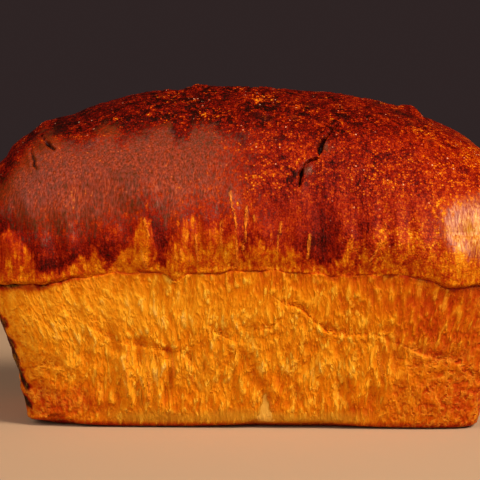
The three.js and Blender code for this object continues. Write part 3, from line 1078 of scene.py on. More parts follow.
    def gathered(self, points: Array) -> Array:
        """Where the wall's skin was gathered into deeper upright folds, from 0 to 1."""
        x, y, z = points.T
        front = self.gathered_front.at(x, z) * (y < 0)
        return np.maximum(front, self.gathered_back.at(x, z) * (y > 0))

    def gathers(self, points: Array) -> Array:
        """The deeper upright folds themselves, from about -0.5 to 0.5."""
        return self.gathered(points) * (self.fine.ridges(points, across=7.5, upright=70) - 0.46)

    def crown_strands(self, points: Array) -> Array:
        """Fine upright strands of the stretched skin over the seam, from 0 to 1."""
        bent = points + 1.2 * self.coarse.at(points, across=19)[:, None]
        wide = self.fine.ridges(bent + 90, across=5.2, upright=30)
        narrow = self.coarse.ridges(bent, across=3.3, upright=22)
        return 0.6 * wide + 0.4 * narrow

    def fine_relief(self, points: Array, wall: Array) -> Array:
        """The finer relief of the crust, in millimetres."""
        z = points[:, 2]
        heights = self.heights
        rough = 1 - self.both_sides(self.haze_by, points, 0, 4)
        lumps = heights.lumps_start.at(z) * mix(*heights.lumps, heights.lumps_grow.at(z)) * self.lumps(points)
        pits = heights.pits * self.coarse.at(points, across=4.6)
        pits += heights.small_pits * self.fine.at(points, across=2.9)
        crags = heights.crags * self.crags.at(points) * self.fine.at(points, across=3.4)
        strands = heights.strands_fade.at(z) * mix(*heights.strands, rough) * self.crown_strands(points)
        uneven = heights.unevenness * self.fine.at(points, across=11)
        on_wall = lumps + heights.gathers * self.gathers(points)
        on_crown = strands + uneven + rough * pits + crags
        drawn_ridges = heights.ridges * bell(self.both_sides(self.ridge_by, points), 1.0)
        return wall * on_wall + (1 - wall) * on_crown + drawn_ridges

    def both_sides(
        self,
        drawn: Callable[[Array, Array], Array],
        points: Array,
        low: float | None = None,
        high: float | None = None,
    ) -> Array:
        """What is drawn on the front, with its mirror image on the back.

        Args:
            drawn: Gives values from the x and z of points of the front.
            points: Rows of x, y and z.
            low: The value that becomes 0, where the values are to be a share.
            high: The value that becomes 1.

        Returns:
            One value for each point, blended over the ends.
        """
        x, y, z = points.T
        reach = mix(16, 34, rise(np.abs(x), 80, 108))
        on_back = drawn(self.back_shift - self.back_stretch * x, z)
        values = mix(drawn(x, z), on_back, rise(y, -reach, reach))
        return values if low is None else rise(values, low, high)

    def glazed_by(self, x: Array, z: Array) -> Array:
        """How far points are inside the crown's dark glaze, in millimetres."""
        edge_x, edge_z = np.array(self.glaze_edge).T
        inside = z - np.interp(x, edge_x, edge_z)
        for tongue in self.tongues:
            inside = np.maximum(inside, 2 * tongue.inside(x, z))
        return np.clip(inside, -FAR, FAR)

    def haze_by(self, x: Array, z: Array) -> Array:
        """How far points are inside the crown's smooth, glossy glaze, in millimetres."""
        top_x, top_z = np.array(self.haze_top).T
        low_x, low_z = np.array(self.haze_low).T
        under_top = np.interp(x, top_x, top_z) - z
        over_low = z - np.interp(x, low_x, low_z)
        inside = np.minimum(0.6 * under_top, 0.28 * over_low)
        inside = np.minimum(inside, 0.2 * (self.haze_right - x))
        inside = np.minimum(inside, 0.35 * (x - self.haze_left))
        for facet in self.facets:
            inside = np.maximum(inside, facet.inside(x, z))
        return np.clip(inside, -FAR, FAR)

    def ridge_by(self, x: Array, z: Array) -> Array:
        """How far points are from the nearest of the bright, upright ridges."""
        nearest = np.full(len(x), FAR)
        for path in self.ridges:
            nearest = np.minimum(nearest, path_distance(x, z, path)[0])
        return nearest

    def shade_by(self, x: Array, z: Array) -> Array:
        """How much browner the crust is in its darker patches, and paler in its lighter ones, two of which
        paint a sheen on the crown's right end.
        """
        total = np.zeros(len(x))
        for patch in self.shades:
            total += patch.soft(x, z)
        return total

    def fold_lines(self, points: Array, wall: Array) -> tuple[Array, Array]:
        """How far points are above the nearest fold, in millimetres, and how deep it is there."""
        x, y, z = points.T
        above = np.full(len(x), FAR)
        depth = np.zeros(len(x))
        for fold in self.folds:
            height = fold.above(x, z)
            strength = wall * fold.along(x, y) * fold.depth * rise(np.abs(height), 3.4, 2.4)
            closer = strength > depth
            above = np.where(closer, height, above)
            depth = np.where(closer, strength, depth)
        return above, depth

    def split_share(self, points: Array, split: Split) -> tuple[Array, Array]:
        """How far into a split points lie, and how far from its edge, in millimetres."""
        x, y, z = points.T
        distance, half_width = path_distance(x, z, split.path)
        front = y < 0
        ragged = distance + 0.5 * self.fine.at(points, 2.6) + 0.6 * self.coarse.at(points, 5)
        share = rise(ragged - half_width, 0.3, -0.9)
        return share * front, np.where(front, ragged - half_width, np.inf)

    def refine(self, shape: bmesh.types.BMesh) -> None:
        """Halves the mesh's spacing twice round the splits.

        Args:
            shape: The loaf's skin before its relief.
        """
        for margin in self.split_margins:
            middles = np.array([((e.verts[0].co + e.verts[1].co) / 2)[:] for e in shape.edges])
            near = np.zeros(len(middles), dtype=bool)
            for split in self.splits:
                distance, half_width = path_distance(middles[:, 0], middles[:, 2], split.path)
                near |= (distance - half_width < margin) & (middles[:, 1] < 0)
            shape.edges.ensure_lookup_table()
            edges = [shape.edges[i] for i in np.flatnonzero(near)]
            bmesh.ops.subdivide_edges(shape, edges=edges, cuts=1, use_grid_fill=True)
            many = [face for face in shape.faces if len(face.verts) > 4]
            bmesh.ops.triangulate(shape, faces=many)

    def crown_bake(self, points: Array) -> Array:
        """How brown the crown's dark glaze is: more at its top and towards its left."""
        x, _, z = points.T
        brown = self.browning
        bake = brown.glaze + brown.towards_top.at(x, z) - brown.leftward * x
        bake += 0.05 * self.tone.at(points, across=15) + 0.09 * self.coarse.at(points, across=7)
        return bake + brown.mottled_top.at(x, z) * self.fine.at(points, across=5)

    def wall_bake(self, points: Array) -> Array:
        """How brown the wall is: more at its ends and its seam, with painted shade in the valleys of its
        lumps and gathers and on its underside and bottom edge.
        """
        x, _, z = points.T
        brown = self.browning
        bake = brown.wall + summed(brown.towards_ends, x, z)
        bake += 0.04 * self.tone.at(points, across=16) + 0.03 * self.fine.at(points, across=6)
        bake += brown.under_seam.at(x, z) * self.front(points)
        # Painted shade: browner in the valleys of the lumps and gathers, paler on their crests.
        bake -= 0.04 * self.lumps(points) + 0.12 * self.gathers(points) + 0.02 * self.gathered(points)
        # Painted shade on the underside and bottom edge, under the loaf.
        bake = mix(brown.foot, bake, brown.foot_shade_end.at(z))
        return mix(bake, brown.burnt_corner, self.burnt_corner(points))

    def seam_shade_and_burn(self, points: Array) -> Array:
        """Painted shade along the seam's crease, strongest where the crease is sharp, with a burnt dark-red
        line added at its left end.
        """
        x, y, z = points.T
        above = z - self.seam.height_at(x, y, self.tin) - 0.2
        sharp = np.clip(self.seam.sharpness_at(x, y, self.tin), 0, 1)
        broken = 0.7 + 0.8 * self.fine.at(points, across=6)
        burnt = self.front(points) * rise(x, -68, -80)
        return bell(above, 0.9 + burnt) * sharp * broken * (0.3 + 0.5 * burnt)

    def bake(self, points: Array, wall: Array) -> Array:
        """How brown the crust is, from 0, pale, to 1, nearly black, over its fine markings."""
        shade = mix(self.crown_bake(points), self.wall_bake(points), wall)
        # The seam's line adds painted shade along its crease.
        return shade + self.both_sides(self.shade_by, points) + self.seam_shade_and_burn(points)

    def golden(self, points: Array) -> Array:
        """How brown the crown is under its dark glaze: golden over the seam, redder higher up."""
        brown = self.browning
        tone = mix(brown.gold, brown.red, brown.gold_to_red.at(points[:, 2]))
        tone += 0.03 * self.tone.at(points, across=9)
        return tone + self.both_sides(self.shade_by, points)

    def paleness(self, points: Array, wall: Array) -> Array:
        """How pale and unbaked the skin is: the band over the bottom edge and its tuft."""
        _, y, z = points.T
        band = self.pale_band.at(points, self.tone.at(points, across=12))
        pale = np.maximum(band, self.pale_tuft.at(points)) * self.pale_band.start.at(z)
        return wall * pale * np.where(y < 0, 1, self.pale_band.back_share)

    def wrinkled(self, points: Array, wall: Array) -> Array:
        """How strongly the wall is wrinkled: less near the seam, and hardly where it is pale."""
        strength = mix(0.7, 1.0, rise(points[:, 2], 54, 44))
        return strength * (1 - 0.65 * np.minimum(self.paleness(points, wall), 1))

    def burnt_corner(self, points: Array) -> Array:
        """How burnt the wall's front left corner is, with a ragged edge, from 0 to 1."""
        burn = self.corner_burn
        ragged = burn.inside(points, self.tin) + 1.9 * self.fine.at(points, across=5)
        ragged += 1.2 * self.coarse.at(points, across=11)
        return burn.edge.at(ragged) * burn.front.at(points[:, 1])

    def burn(self, points: Array, wall: Array) -> Array:
        """How dark the crust is painted: burnt on the left corner and in spots on top, with painted shade
        inside the splits and a painted shadow beside a knob on top.
        """
        x, _, z = points.T
        # Inside the splits the darkness is painted shade of the recess.
        split_shade = np.maximum.reduce([self.split_share(points, split)[0] for split in self.splits])
        corner = wall * self.burnt_corner(points) * rise(self.fine.at(points, across=4), -0.1, 0.5)
        dark = self.tone.at(points, across=7) + 0.4 * self.fine.at(points, across=2.6)
        spots = (1 - wall) * self.burnt_top.at(x, z) * rise(dark, 0.42, 0.8)
        # A painted shadow beside the knob on top.
        knob = bell(np.linalg.norm(points - np.array(self.knob_shadow_spot), axis=1), 5)
        return np.maximum.reduce([0.9 * split_shade, 0.7 * corner, 0.6 * spots, 0.8 * knob])

    def blisters(self, points: Array, wall: Array) -> Array:
        """How thick the small blisters stand: on top, and down the crown's right half."""
        x, _, z = points.T
        on_front = strongest(self.blistered_front, x, z)
        on_sides = mix(self.blistered_back.at(x, z), on_front, self.front(points))
        spread = np.maximum(self.blistered_top.at(x, z) + 0.25 * self.crags.at(points), on_sides)
        patchy = 0.85 + 0.35 * self.tone.at(points, across=10)
        return (1 - wall) * np.clip(spread, 0.1, 1.4) * patchy

    def build(self) -> bpy.types.Object:
        """Makes the loaf's mesh, with the masks that its finish reads.

        Returns:
            The finished object, in metres.
        """
        skin = self.lay_skin()
        mesh = bpy.data.meshes.new(self.name)
        mesh.from_pydata(np.concatenate(skin.points).tolist(), [], skin.faces)
        for label, values in (("wall", skin.wall), ("loose", skin.loose)):
            mesh.attributes.new(label, "FLOAT", "POINT")
            mesh.attributes[label].data.foreach_set("value", np.concatenate(values))
        shape = bmesh.new()
        shape.from_mesh(mesh)
        self.refine(shape)
        shape.to_mesh(mesh)
        shape.free()
        count = len(mesh.vertices)
        points = np.zeros(3 * count)
        wall = np.zeros(count)
        loose = np.zeros(count)
        mesh.vertices.foreach_get("co", points)
        mesh.attributes["wall"].data.foreach_get("value", wall)
        mesh.attributes["loose"].data.foreach_get("value", loose)
        points = points.reshape(-1, 3)
        out = self.main_relief(points, wall) + self.fine_relief(points, wall)
        for split in self.splits:
            share, beyond = self.split_share(points, split)
            out += 0.25 * bell(beyond - 1.2, 1.2) - split.depth * share
        masks = {
            "bake": self.bake(points, wall),
            "pale": self.paleness(points, wall),
            # The burn mask holds burnt crust, and painted shade in the splits and beside a knob.
            "burn": self.burn(points, wall),
            "blister": self.blisters(points, wall),
            "lean": self.leaned(points)[:, 0] - points[:, 0],
            "glazed": self.both_sides(self.glazed_by, points),
            "haze": self.both_sides(self.haze_by, points),
            "golden": self.golden(points),
            "ridge": self.both_sides(self.ridge_by, points),
            "wrinkled": self.wrinkled(points, wall),
            "rumpled": self.rumpled(points),
        }
        masks["fold"], masks["fold_depth"] = self.fold_lines(points, wall)
        final = points + self.outward(points) * (out * loose)[:, None]
        middle = (final.max(axis=0) + final.min(axis=0)) / 2
        final[:, :2] -= middle[:2]
        mesh.vertices.foreach_set("co", (final * MM).ravel())
        for label, values in masks.items():
            mesh.attributes.new(label, "FLOAT", "POINT")
            mesh.attributes[label].data.foreach_set("value", values)
        mesh.attributes.remove(mesh.attributes["loose"])
        mesh.polygons.foreach_set("use_smooth", np.ones(len(mesh.polygons), dtype=bool))
        mesh.update()
        loaf = bpy.data.objects.new(self.name, mesh)
        bpy.context.collection.objects.link(loaf)
        return loaf

    def dress(self, loaf: bpy.types.Object, finish: "CrustFinish") -> None:
        """Gives the loaf its finish, and puts it in the place of the plain solid."""
        loaf.data.materials.append(finish.make())
        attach(loaf, "root")
        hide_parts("loaf")


class Wire:
    """A node's output, whose arithmetic as a number adds Math nodes."""

    def __init__(self, bench: "Bench", socket: bpy.types.NodeSocket) -> None:
        """Wraps a socket of a bench's node tree."""
        self.bench = bench
        self.socket = socket

    def output(self, name: str) -> "Wire":
        """Another output of the same node."""
        return Wire(self.bench, self.socket.node.outputs[name])

    def __add__(self, other: "Number") -> "Wire":
        """This plus another."""
        return self.bench.math("ADD", self, other)

    def __radd__(self, other: float) -> "Wire":
        """A number plus this."""
        return self.bench.math("ADD", other, self)

    def __sub__(self, other: "Number") -> "Wire":
        """This less another."""
        return self.bench.math("SUBTRACT", self, other)

    def __rsub__(self, other: float) -> "Wire":
        """A number less this."""
        return self.bench.math("SUBTRACT", other, self)

    def __mul__(self, other: "Number") -> "Wire":
        """This times another."""
        return self.bench.math("MULTIPLY", self, other)

    def __rmul__(self, other: float) -> "Wire":
        """A number times this."""
        return self.bench.math("MULTIPLY", other, self)

    def __truediv__(self, other: "Number") -> "Wire":
        """This divided by another."""
        return self.bench.math("DIVIDE", self, other)

    def __abs__(self) -> "Wire":
        """This without its sign."""
        return self.bench.math("ABSOLUTE", self)

    def over(self, low: float, high: float) -> "Wire":
        """A smooth step from 0 at low to 1 at high, also where high is the lower of the two."""
        falling = high < low
        limits = (high, low) if falling else (low, high)
        step = self.bench.node(
            "ShaderNodeMapRange",
            {"interpolation_type": "SMOOTHSTEP"},
            {"Value": self, "From Min": limits[0], "From Max": limits[1]},
        )
        return 1 - step if falling else step

    def toward(self, other: "Wire", share: "Wire") -> "Wire":
        """This where the share is 0, the other where it is 1, and a blend between."""
        return self + (other - self) * share

    def held(self) -> "Wire":
        """This, held between 0 and 1."""
        return self.bench.node("ShaderNodeClamp", {}, {"Value": self})


@dataclass(frozen=True)
class Beads:
    """Round beads of a surface."""

    dome: Wire
    chance: Wire


Number = Wire | float


class Bench:
    """The node tree of one finish, and the ways of adding to it."""

    BEAD_REACH = 0.75

    def __init__(self, name: str) -> None:
        """Starts a material with its shader.

        Args:
            name: The material's name.
        """
        self.material = bpy.data.materials.new(name)
        self.material.use_nodes = True
        self.tree = self.material.node_tree
        self.shader = self.tree.nodes["Principled BSDF"]

    def node(self, kind: str, settings: dict, sockets: dict, output: int | str = 0) -> Wire:
        """Adds a node.

        Args:
            kind: The node's type.
            settings: Its settings, which are set before its sockets.
            sockets: The values or wires of its inputs, by name or number.
            output: The output to give back, by name or number.

        Returns:
            The wire from that output.
        """
        node = self.tree.nodes.new(kind)
        for name, value in settings.items():
            if name == "stops":
                self.set_stops(node.color_ramp, value)
            else:
                setattr(node, name, value)
        for name, value in sockets.items():
            if isinstance(value, Wire):
                self.tree.links.new(value.socket, node.inputs[name])
            else:
                node.inputs[name].default_value = value
        return Wire(self, node.outputs[output])

    def set_stops(self, ramp: bpy.types.ColorRamp, stops: tuple[tuple[float, Colour], ...]) -> None:
        """Sets the stops of a ramp, of which it has two to begin with."""
        for _ in stops[2:]:
            ramp.elements.new(1.0)
        for element, (place, colour) in zip(ramp.elements, stops, strict=True):
            element.position = place
            element.color = colour

    def math(self, operation: str, *numbers: Number) -> Wire:
        """Adds a Math node."""
        return self.node("ShaderNodeMath", {"operation": operation}, dict(enumerate(numbers)))

    def mask(self, name: str) -> Wire:
        """A mask of the mesh."""
        return self.node("ShaderNodeAttribute", {"attribute_name": name}, {}, "Fac")

    def blend(self, share: Wire, first: Wire, second: Colour) -> Wire:
        """Mixes a share of the second colour into the first."""
        settings = {"data_type": "RGBA", "blend_type": "MIX"}
        return self.node("ShaderNodeMix", settings, {0: share, 6: first, 7: second}, 2)

    def scaled(self, vector: Wire, scale: Vector3) -> Wire:
        """A vector with each of its parts scaled."""
        return self.node("ShaderNodeVectorMath", {"operation": "MULTIPLY"}, {0: vector, 1: scale})

    def moved(self, vector: Wire, by: Wire) -> Wire:
        """A vector moved by another."""
        return self.node("ShaderNodeVectorMath", {"operation": "ADD"}, {0: vector, 1: by})

    def noise(self, place: Wire, across: float, upright: float, detail: float) -> Wire:
        """Smooth noise from about -0.5 to 0.5, with its spacing in millimetres."""
        vector = self.scaled(place, (1 / across, 1 / across, 1 / upright))
        return self.node("ShaderNodeTexNoise", {}, {"Vector": vector, "Scale": 1.0, "Detail": detail}) - 0.5

    def peak(self, distance: Wire, reach: float) -> Wire:
        """A round bump of height 1 that ends at its reach."""
        share = distance / reach
        return (1 - share * share).held()

    def beads(self, place: Wire, spacing: float) -> Beads:
        """Round beads over the surface, with their spacing in millimetres."""
        settings = {"Vector": place, "Scale": 1 / spacing, "Randomness": 1.0}
        cells = self.node("ShaderNodeTexVoronoi", {}, settings, "Distance")
        chance = self.node("ShaderNodeSeparateColor", {}, {"Color": cells.output("Color")}, "Red")
        return Beads(self.peak(cells, self.BEAD_REACH), chance)

    def feed(self, socket: str, value: Wire | float | Colour) -> None:
        """Sets or links an input of the shader."""
        if isinstance(value, Wire):
            self.tree.links.new(value.socket, self.shader.inputs[socket])
        else:
            self.shader.inputs[socket].default_value = value


class CrustPatterns:
    """The patterns that the whole crust's colour and relief share."""

    def __init__(self, bench: Bench) -> None:
        """Adds the patterns, each from about -0.5 to 0.5.

        Args:
            bench: The node tree that they are added to.
        """
        metres = bench.node("ShaderNodeTexCoord", {}, {}, "Object")
        place = bench.scaled(metres, (1 / MM, 1 / MM, 1 / MM))
        lean = bench.node("ShaderNodeCombineXYZ", {}, {"X": bench.mask("lean")})
        swirl = {"Vector": place, "Scale": 0.08, "Detail": 1.0}
        drift = bench.node("ShaderNodeTexNoise", {}, swirl, "Color")
        bent = bench.moved(bench.moved(place, lean), bench.scaled(drift, (2.0, 2.0, 2.0)))
        self.place = place
        self.wall = bench.mask("wall")
        self.crown = 1 - self.wall
        self.blotch = bench.noise(place, across=3.3, upright=3.9, detail=2.0)
        self.cells = bench.noise(place, across=2.3, upright=2.5, detail=1.5)
        self.mottle = bench.noise(place, across=1.4, upright=1.7, detail=3.0)
        self.grain = bench.noise(place, across=0.6, upright=0.75, detail=2.0)
        self.flame = bench.noise(bent, across=3.0, upright=14.0, detail=1.0)
        self.fibre = bench.noise(bent, across=2.4, upright=10.5, detail=1.0)
        self.streak = bench.noise(bent, across=1.2, upright=9.0, detail=2.0)
        self.fine = bench.noise(bent, across=1.1, upright=3.7, detail=1.5)
        self.hair = bench.noise(bent, across=0.55, upright=3.0, detail=1.0)
        flecks = bench.beads(bench.scaled(bent, (1.0, 1.0, 0.36)), spacing=1.25)
        self.stroke = flecks.dome.over(0.25, 0.8) * flecks.chance.over(0.7, 0.85)


class WallSkin:
    """The skin that lay against the tin: gold, with upright wrinkles, folds and rumpled corners."""

    def __init__(self, bench: Bench, marks: CrustPatterns) -> None:
        """Adds how brown the wall is, its pale flecks, which are partly a painted highlight on the crests,
        and its relief in millimetres.

        Args:
            bench: The node tree that they are added to.
            marks: The patterns that they are made of.
        """
        self.rumpled = bench.mask("rumpled")
        self.line = marks.stroke * marks.fibre.over(-0.08, 0.04) * bench.mask("bake").over(0.44, 0.3)
        rib = marks.fibre.over(-0.08, 0.2)
        nub = marks.fine.over(-0.08, 0.2)
        self.swell = 0.7 * rib * rib + 0.5 * nub * nub
        self.net = (1 - 7 * abs(marks.cells)).held() * marks.blotch.over(-0.15, 0.1)
        above = bench.mask("fold") + 2.4 * marks.fine
        depth = bench.mask("fold_depth")
        # Painted shade in each fold: the crease is browner as well as sunk, and a band over it is browner
        # too.
        crease = bench.peak(above - 0.3, 0.8) * depth * marks.mottle.over(-0.1, 0.1)
        fold_shade_above = bench.peak(above - 1.6, 1.9) * depth
        lip = bench.peak(above + 1.0, 1.1) * depth * marks.fibre.over(-0.06, 0.06)
        lip = lip * marks.blotch.over(-0.1, 0.12)
        wrinkles = self.wrinkles(marks)
        # Painted shade: the wall is browner in the valleys of its wrinkles and paler on their crests.
        shade = bench.mask("bake") + 0.02 - 0.15 * wrinkles + 0.1 * marks.mottle
        self.bake = shade + 0.08 * crease + 0.07 * fold_shade_above
        self.height = wrinkles * bench.mask("wrinkled") + 0.3 * lip - 0.4 * crease
        # The pale flecks sit on wrinkle crests and fold lips: partly paler, less baked skin, partly a painted
        # highlight on the lit crests.
        upright_fleck = 0.2 * self.swell.over(0.5, 0.8) + 0.6 * self.line
        pale_lit_fleck = upright_fleck.toward(0.28 * self.net, self.rumpled) + 0.2 * lip
        self.pale_lit_fleck = pale_lit_fleck.held() * marks.wall

    def wrinkles(self, marks: CrustPatterns) -> Wire:
        """The wrinkles: upright ones, and a net of them running all ways where the skin is rumpled."""
        upright = 1.4 * marks.fibre + 0.7 * marks.fine + 0.55 * self.swell + 0.35 * self.line
        crumpled = 1.8 * marks.cells + 0.45 * self.net + 0.5 * marks.fine
        return upright.toward(crumpled, self.rumpled)


class CrownSkin:
    """The skin that rose over the tin: a red-brown glaze, smooth in one zone and blistered elsewhere."""

    def __init__(self, bench: Bench, marks: CrustPatterns) -> None:
        """Adds how brown the crown is, its ridges, painted glints and film, and its relief in millimetres.

        Args:
            bench: The node tree that they are added to.
            marks: The patterns that they are made of.
        """
        glaze = bench.mask("glazed") / 3.2 + 2.6 * marks.flame + 1.4 * marks.streak + 0.8 * marks.mottle
        self.glazed = glaze.over(-0.5, 0.9)
        haze = bench.mask("haze") + 5.0 * marks.streak + 6.0 * marks.mottle
        haze = haze + 4.0 * marks.blotch + 5.0 * marks.grain
        self.smooth = haze.over(-1.5, 3.0) * marks.crown
        self.blister = bench.mask("blister")
        self.rough = (1 - self.smooth) * self.blister
        self.large = bench.beads(marks.place, spacing=1.9)
        self.small = bench.beads(marks.place, spacing=0.8)
        # Painted glints: a few tiny bright dots in the blistered crust's colour, standing in for specular
        # highlights.
        painted_glint = self.small.chance.over(0.994, 0.998) * self.small.dome.over(0.4, 0.9)
        self.painted_glint = 0.6 * painted_glint * self.rough
        ridge = bench.mask("ridge") + 1.4 * marks.fibre + 0.8 * marks.grain + 1.2 * marks.fine
        self.ridge = ridge.over(0.75, 0.3) * (0.65 * marks.fine.over(-0.15, 0.03) + 0.35)
        golden = bench.mask("golden") + 0.25 * marks.streak + 0.35 * marks.flame + 0.1 * marks.mottle
        shade = golden.toward(bench.mask("bake"), self.glazed)
        self.bake = shade + self.streaks(marks) + self.under_film(marks) + self.blisters(marks)
        self.height = self.relief(marks)
        self.film = self.film_weight(marks)

    def streaks(self, marks: CrustPatterns) -> Wire:
        """Darker streaks and mottles of the glaze, and pale strokes where there are no blisters."""
        mottled = 0.5 * marks.grain + 0.35 * marks.mottle + 0.35 * marks.streak
        mottled = mottled * (0.5 * self.glazed + 0.5) * (1 - 0.3 * self.smooth)
        return mottled - 0.13 * marks.stroke * (1 - self.smooth) * (1 - self.blister).held()

    def under_film(self, marks: CrustPatterns) -> Wire:
        """The skin under the smooth film: darker and streaked, with bright specks."""
        speck = self.small.chance.over(0.93, 0.98) * self.small.dome * self.smooth
        return self.smooth * (0.05 + 0.3 * marks.streak - 0.7 * marks.hair) - 0.25 * speck

    def blisters(self, marks: CrustPatterns) -> Wire:
        """The blisters: brighter on some tops, as orange dots and painted highlight, with painted shade
        between them, in darker and paler blotches.
        """
        large, small = self.large, self.small
        # Painted highlight on some blister tops, and painted shade in the gaps between the blisters.
        painted_lit_tops = 0.35 * large.chance.over(0.7, 0.95) * large.dome + small.chance.over(0.55, 0.95) * small.dome
        dark = 0.6 * (1 - large.dome) + 0.7 * (1 - small.dome)
        crag = self.rough.over(0.9, 1.15)
        return self.rough * (0.17 * dark - 0.3 * painted_lit_tops + 0.52 * marks.blotch) + 0.8 * crag * marks.blotch

    def relief(self, marks: CrustPatterns) -> Wire:
        """The fine relief of the crown, which the film fills."""
        grainy = (1 - 0.7 * self.smooth) * (0.35 * marks.grain + 0.4 * marks.mottle)
        blistered = self.rough * (0.3 * self.large.dome + 0.25 * self.small.dome + 1.2 * marks.blotch)
        return 0.35 * marks.streak + grainy + blistered

    def film_weight(self, marks: CrustPatterns) -> Wire:
        """How thick the glossy film is: streaked where the crown is smooth, and thin elsewhere."""
        streaked = 0.62 + 2.2 * marks.hair + 0.7 * marks.streak + 0.8 * marks.mottle - 0.6 * marks.grain
        return self.smooth * streaked + 0.06 * self.rough


@dataclass(frozen=True)
class CrustFinish:
    """The baked skin: pale dough, gold, red-brown glaze and burnt spots, with painted shade, highlights and
    glints, by the mesh's masks.
    """

    name: str = "baked_crust"
    shades: tuple[tuple[float, Colour], ...] = (
        (0.0, (0.86, 0.56, 0.16, 1)),
        (0.2, (0.88, 0.34, 0.010, 1)),
        (0.34, (0.70, 0.19, 0.002, 1)),
        (0.42, (0.57, 0.110, 0.001, 1)),
        (0.5, (0.46, 0.050, 0.001, 1)),
        (0.6, (0.33, 0.018, 0.0008, 1)),
        (0.72, (0.20, 0.0055, 0.0007, 1)),
        (0.84, (0.10, 0.0024, 0.0006, 1)),
        (1.0, (0.018, 0.002, 0.0008, 1)),
    )
    glaze: Colour = (0.19, 0.040, 0.004, 1)
    pale: Colour = (0.44, 0.185, 0.010, 1)
    dough: Colour = (0.78, 0.39, 0.056, 1)
    # Pale flecks of the wall's crests: paler skin with a painted highlight.
    pale_lit_fleck: Colour = (0.95, 0.49, 0.035, 1)
    ridge: Colour = (0.86, 0.235, 0.012, 1)
    # The colour of the painted glints, which stand in for specular highlights.
    painted_glint: Colour = (1.0, 0.55, 0.32, 1)
    # Near black: burnt crust, and also the painted shade inside the splits and beside a knob on top.
    burnt: Colour = (0.022, 0.003, 0.002, 1)
    glaze_cover: float = 0.42
    ridge_cover: float = 0.8
    pale_cover: float = 0.75
    ridge_height: float = 0.5
    wall_roughness: float = 0.5
    crown_roughness: float = 0.42
    mottled_roughness: float = 0.2
    coat_roughness: float = 0.33
    fleck_coat: float = 0.1
    shine: float = 0.035

    def colour(self, bench: Bench, marks: CrustPatterns, wall: WallSkin, crown: CrownSkin) -> Wire:
        """The crust's colour: its shade by how brown it is, with each other colour laid over it.

        Args:
            bench: The node tree that it is added to.
            marks: The patterns of the whole crust.
            wall: The wall's part of them.
            crown: The crown's part of them.

        Returns:
            The wire of the colour.
        """
        bake = crown.bake * marks.crown + wall.bake * marks.wall
        skin = bench.node("ShaderNodeValToRGB", {"stops": self.shades}, {"Fac": bake.held()}, "Color")
        pale = bench.mask("pale")
        tuft = (pale + 0.4 * marks.fine).over(1.05, 1.2) * (marks.fine + 0.75).held()
        # Burnt crust, and painted shade in the splits and beside a knob.
        burn = bench.mask("burn") * (0.5 * marks.mottle + 1.25)
        covers = (
            (self.glaze_cover * crown.smooth, self.glaze),
            (wall.pale_lit_fleck, self.pale_lit_fleck),
            (self.ridge_cover * crown.ridge, self.ridge),
            (crown.painted_glint.held(), self.painted_glint),
            ((self.pale_cover * pale).held(), self.pale),
            (tuft, self.dough),
            (burn.held(), self.burnt),
        )
        for share, cover in covers:
            skin = bench.blend(share, skin, cover)
        return skin

    def make(self) -> bpy.types.Material:
        """Makes the material.

        Returns:
            The new material.
        """
        bench = Bench(self.name)
        marks = CrustPatterns(bench)
        wall = WallSkin(bench, marks)
        crown = CrownSkin(bench, marks)
        bench.feed("Base Color", self.colour(bench, marks, wall, crown))
        height = wall.height * marks.wall + crown.height * marks.crown + self.ridge_height * crown.ridge
        bump = bench.node("ShaderNodeBump", {}, {"Strength": 1.0, "Distance": MM, "Height": height})
        bench.feed("Normal", bump)
        roughness = self.crown_roughness + marks.wall * (self.wall_roughness - self.crown_roughness)
        bench.feed("Roughness", roughness + self.mottled_roughness * marks.mottle)
        bench.feed("Coat Weight", crown.film + self.fleck_coat * wall.pale_lit_fleck)
        bench.feed("Coat Roughness", self.coat_roughness)
        bench.feed("Specular IOR Level", self.shine)
        return bench.material


class Light(Enum):
    """What a panel's light shows on: matt colour or gloss."""

    MATT = "matt"
    GLOSS = "gloss"


@dataclass(frozen=True)
class Softbox:
    """A soft light panel."""

    name: str
    place: Vector3
    aim: Vector3
    width: float
    height: float
    power: float
    colour: Vector3
    shows_on: Light

    def build(self) -> None:
        """Adds the light to the scene."""
        data = bpy.data.lights.new(self.name, "AREA")
        data.shape = "RECTANGLE"
        data.size = self.width
        data.size_y = self.height
        data.energy = self.power
        data.color = self.colour
        light = bpy.data.objects.new(self.name, data)
        light.location = self.place
        toward = Vector(self.aim) - Vector(self.place)
        light.rotation_euler = toward.to_track_quat("-Z", "Y").to_euler()
        light.visible_glossy = self.shows_on is Light.GLOSS
        light.visible_diffuse = self.shows_on is Light.MATT
        bpy.context.collection.objects.link(light)


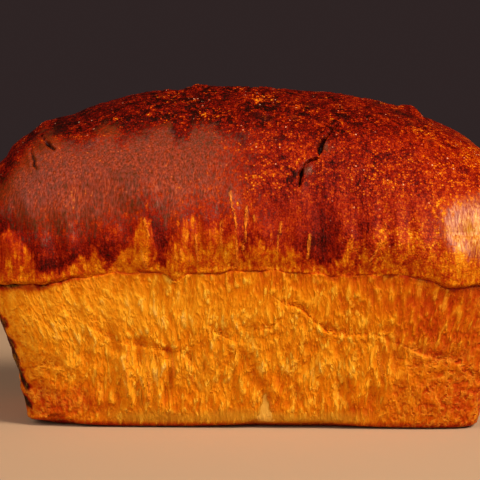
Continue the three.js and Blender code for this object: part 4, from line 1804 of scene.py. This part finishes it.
@dataclass
class Studio:
    """A plain pale floor before a dark room, soft light and the camera, in metres."""

    floor_radius: float = 0.7
    floor_sides: int = 96
    floor_colour: Colour = (0.44, 0.28, 0.17, 1)
    floor_roughness: float = 0.9
    room_colour: Colour = (0.028, 0.018, 0.018, 1)
    camera_distance: float = 0.95
    camera_aim: Vector3 = (-0.00623, 0.0, 0.07521)
    camera_azimuth: float = 2.19
    camera_elevation: float = 6.0
    focal_pixels: float = 2184.87
    picture_pixels: float = 480
    sensor: float = 36
    softboxes: tuple[Softbox, ...] = (
        Softbox(
            "key_light", place=(1.25, -0.95, 1.4), aim=(0, 0, 0.06), width=0.7, height=0.7,
            power=61, colour=(1, 0.92, 0.78), shows_on=Light.MATT,
        ),
        Softbox(
            "fill_light", place=(-1.4, -1.3, 1.1), aim=(0, 0, 0.06), width=1.5, height=1.5,
            power=30, colour=(1, 0.93, 0.86), shows_on=Light.MATT,
        ),
        Softbox(
            "sheen_panel", place=(0.98, -1.07, 0.3), aim=(0.1, 0, 0.09), width=1.5, height=1.0,
            power=42, colour=(1, 0.84, 0.58), shows_on=Light.GLOSS,
        ),
        Softbox(
            "haze_panel", place=(-0.23, -0.86, 1.24), aim=(0, 0, 0.1), width=2.6, height=2.6,
            power=20, colour=(0.95, 0.7, 0.66), shows_on=Light.GLOSS,
        ),
    )

    def lay_floor(self) -> None:
        """Lays the round, pale floor that the loaf rests on."""
        shape = bmesh.new()
        bmesh.ops.create_circle(shape, cap_ends=True, segments=self.floor_sides, radius=self.floor_radius)
        mesh = bpy.data.meshes.new("floor")
        shape.to_mesh(mesh)
        shape.free()
        floor = bpy.data.objects.new("floor", mesh)
        bpy.context.collection.objects.link(floor)
        bench = Bench("floor_cloth")
        bench.feed("Base Color", self.floor_colour)
        bench.feed("Roughness", self.floor_roughness)
        mesh.materials.append(bench.material)

    def darken_room(self) -> None:
        """Sets the room's plain colour and the picture's plain tones."""
        world = bpy.data.worlds.new("room")
        world.use_nodes = True
        world.node_tree.nodes["Background"].inputs["Color"].default_value = self.room_colour
        bpy.context.scene.world = world
        bpy.context.scene.view_settings.view_transform = "Standard"

    def place_camera(self) -> None:
        """Places the camera at the photograph's viewing angle."""
        turn = math.radians(self.camera_azimuth)
        tilt = math.radians(self.camera_elevation)
        forward = Vector(
            (-math.sin(turn) * math.cos(tilt), math.cos(turn) * math.cos(tilt), -math.sin(tilt))
        )
        data = bpy.data.cameras.new("camera")
        data.sensor_width = self.sensor
        data.lens = self.focal_pixels * self.sensor / self.picture_pixels
        camera = bpy.data.objects.new("camera", data)
        camera.location = Vector(self.camera_aim) - self.camera_distance * forward
        camera.rotation_euler = forward.to_track_quat("-Z", "Y").to_euler()
        bpy.context.collection.objects.link(camera)
        bpy.context.scene.camera = camera

    def build(self) -> None:
        """Sets up the whole studio."""
        self.lay_floor()
        self.darken_room()
        self.place_camera()
        for softbox in self.softboxes:
            softbox.build()


def main() -> None:
    """Builds the loaf and the studio, and reports each piece."""
    logging.basicConfig(level=logging.INFO, format="%(name)s: %(message)s")
    loaf = BriocheLoaf()
    piece = loaf.build()
    loaf.dress(piece, CrustFinish())
    LOG.info("%s: %d faces", piece.name, len(piece.data.polygons))
    Studio().build()
    LOG.info("studio: floor, camera and lights")


if __name__ == "__main__":
    main()
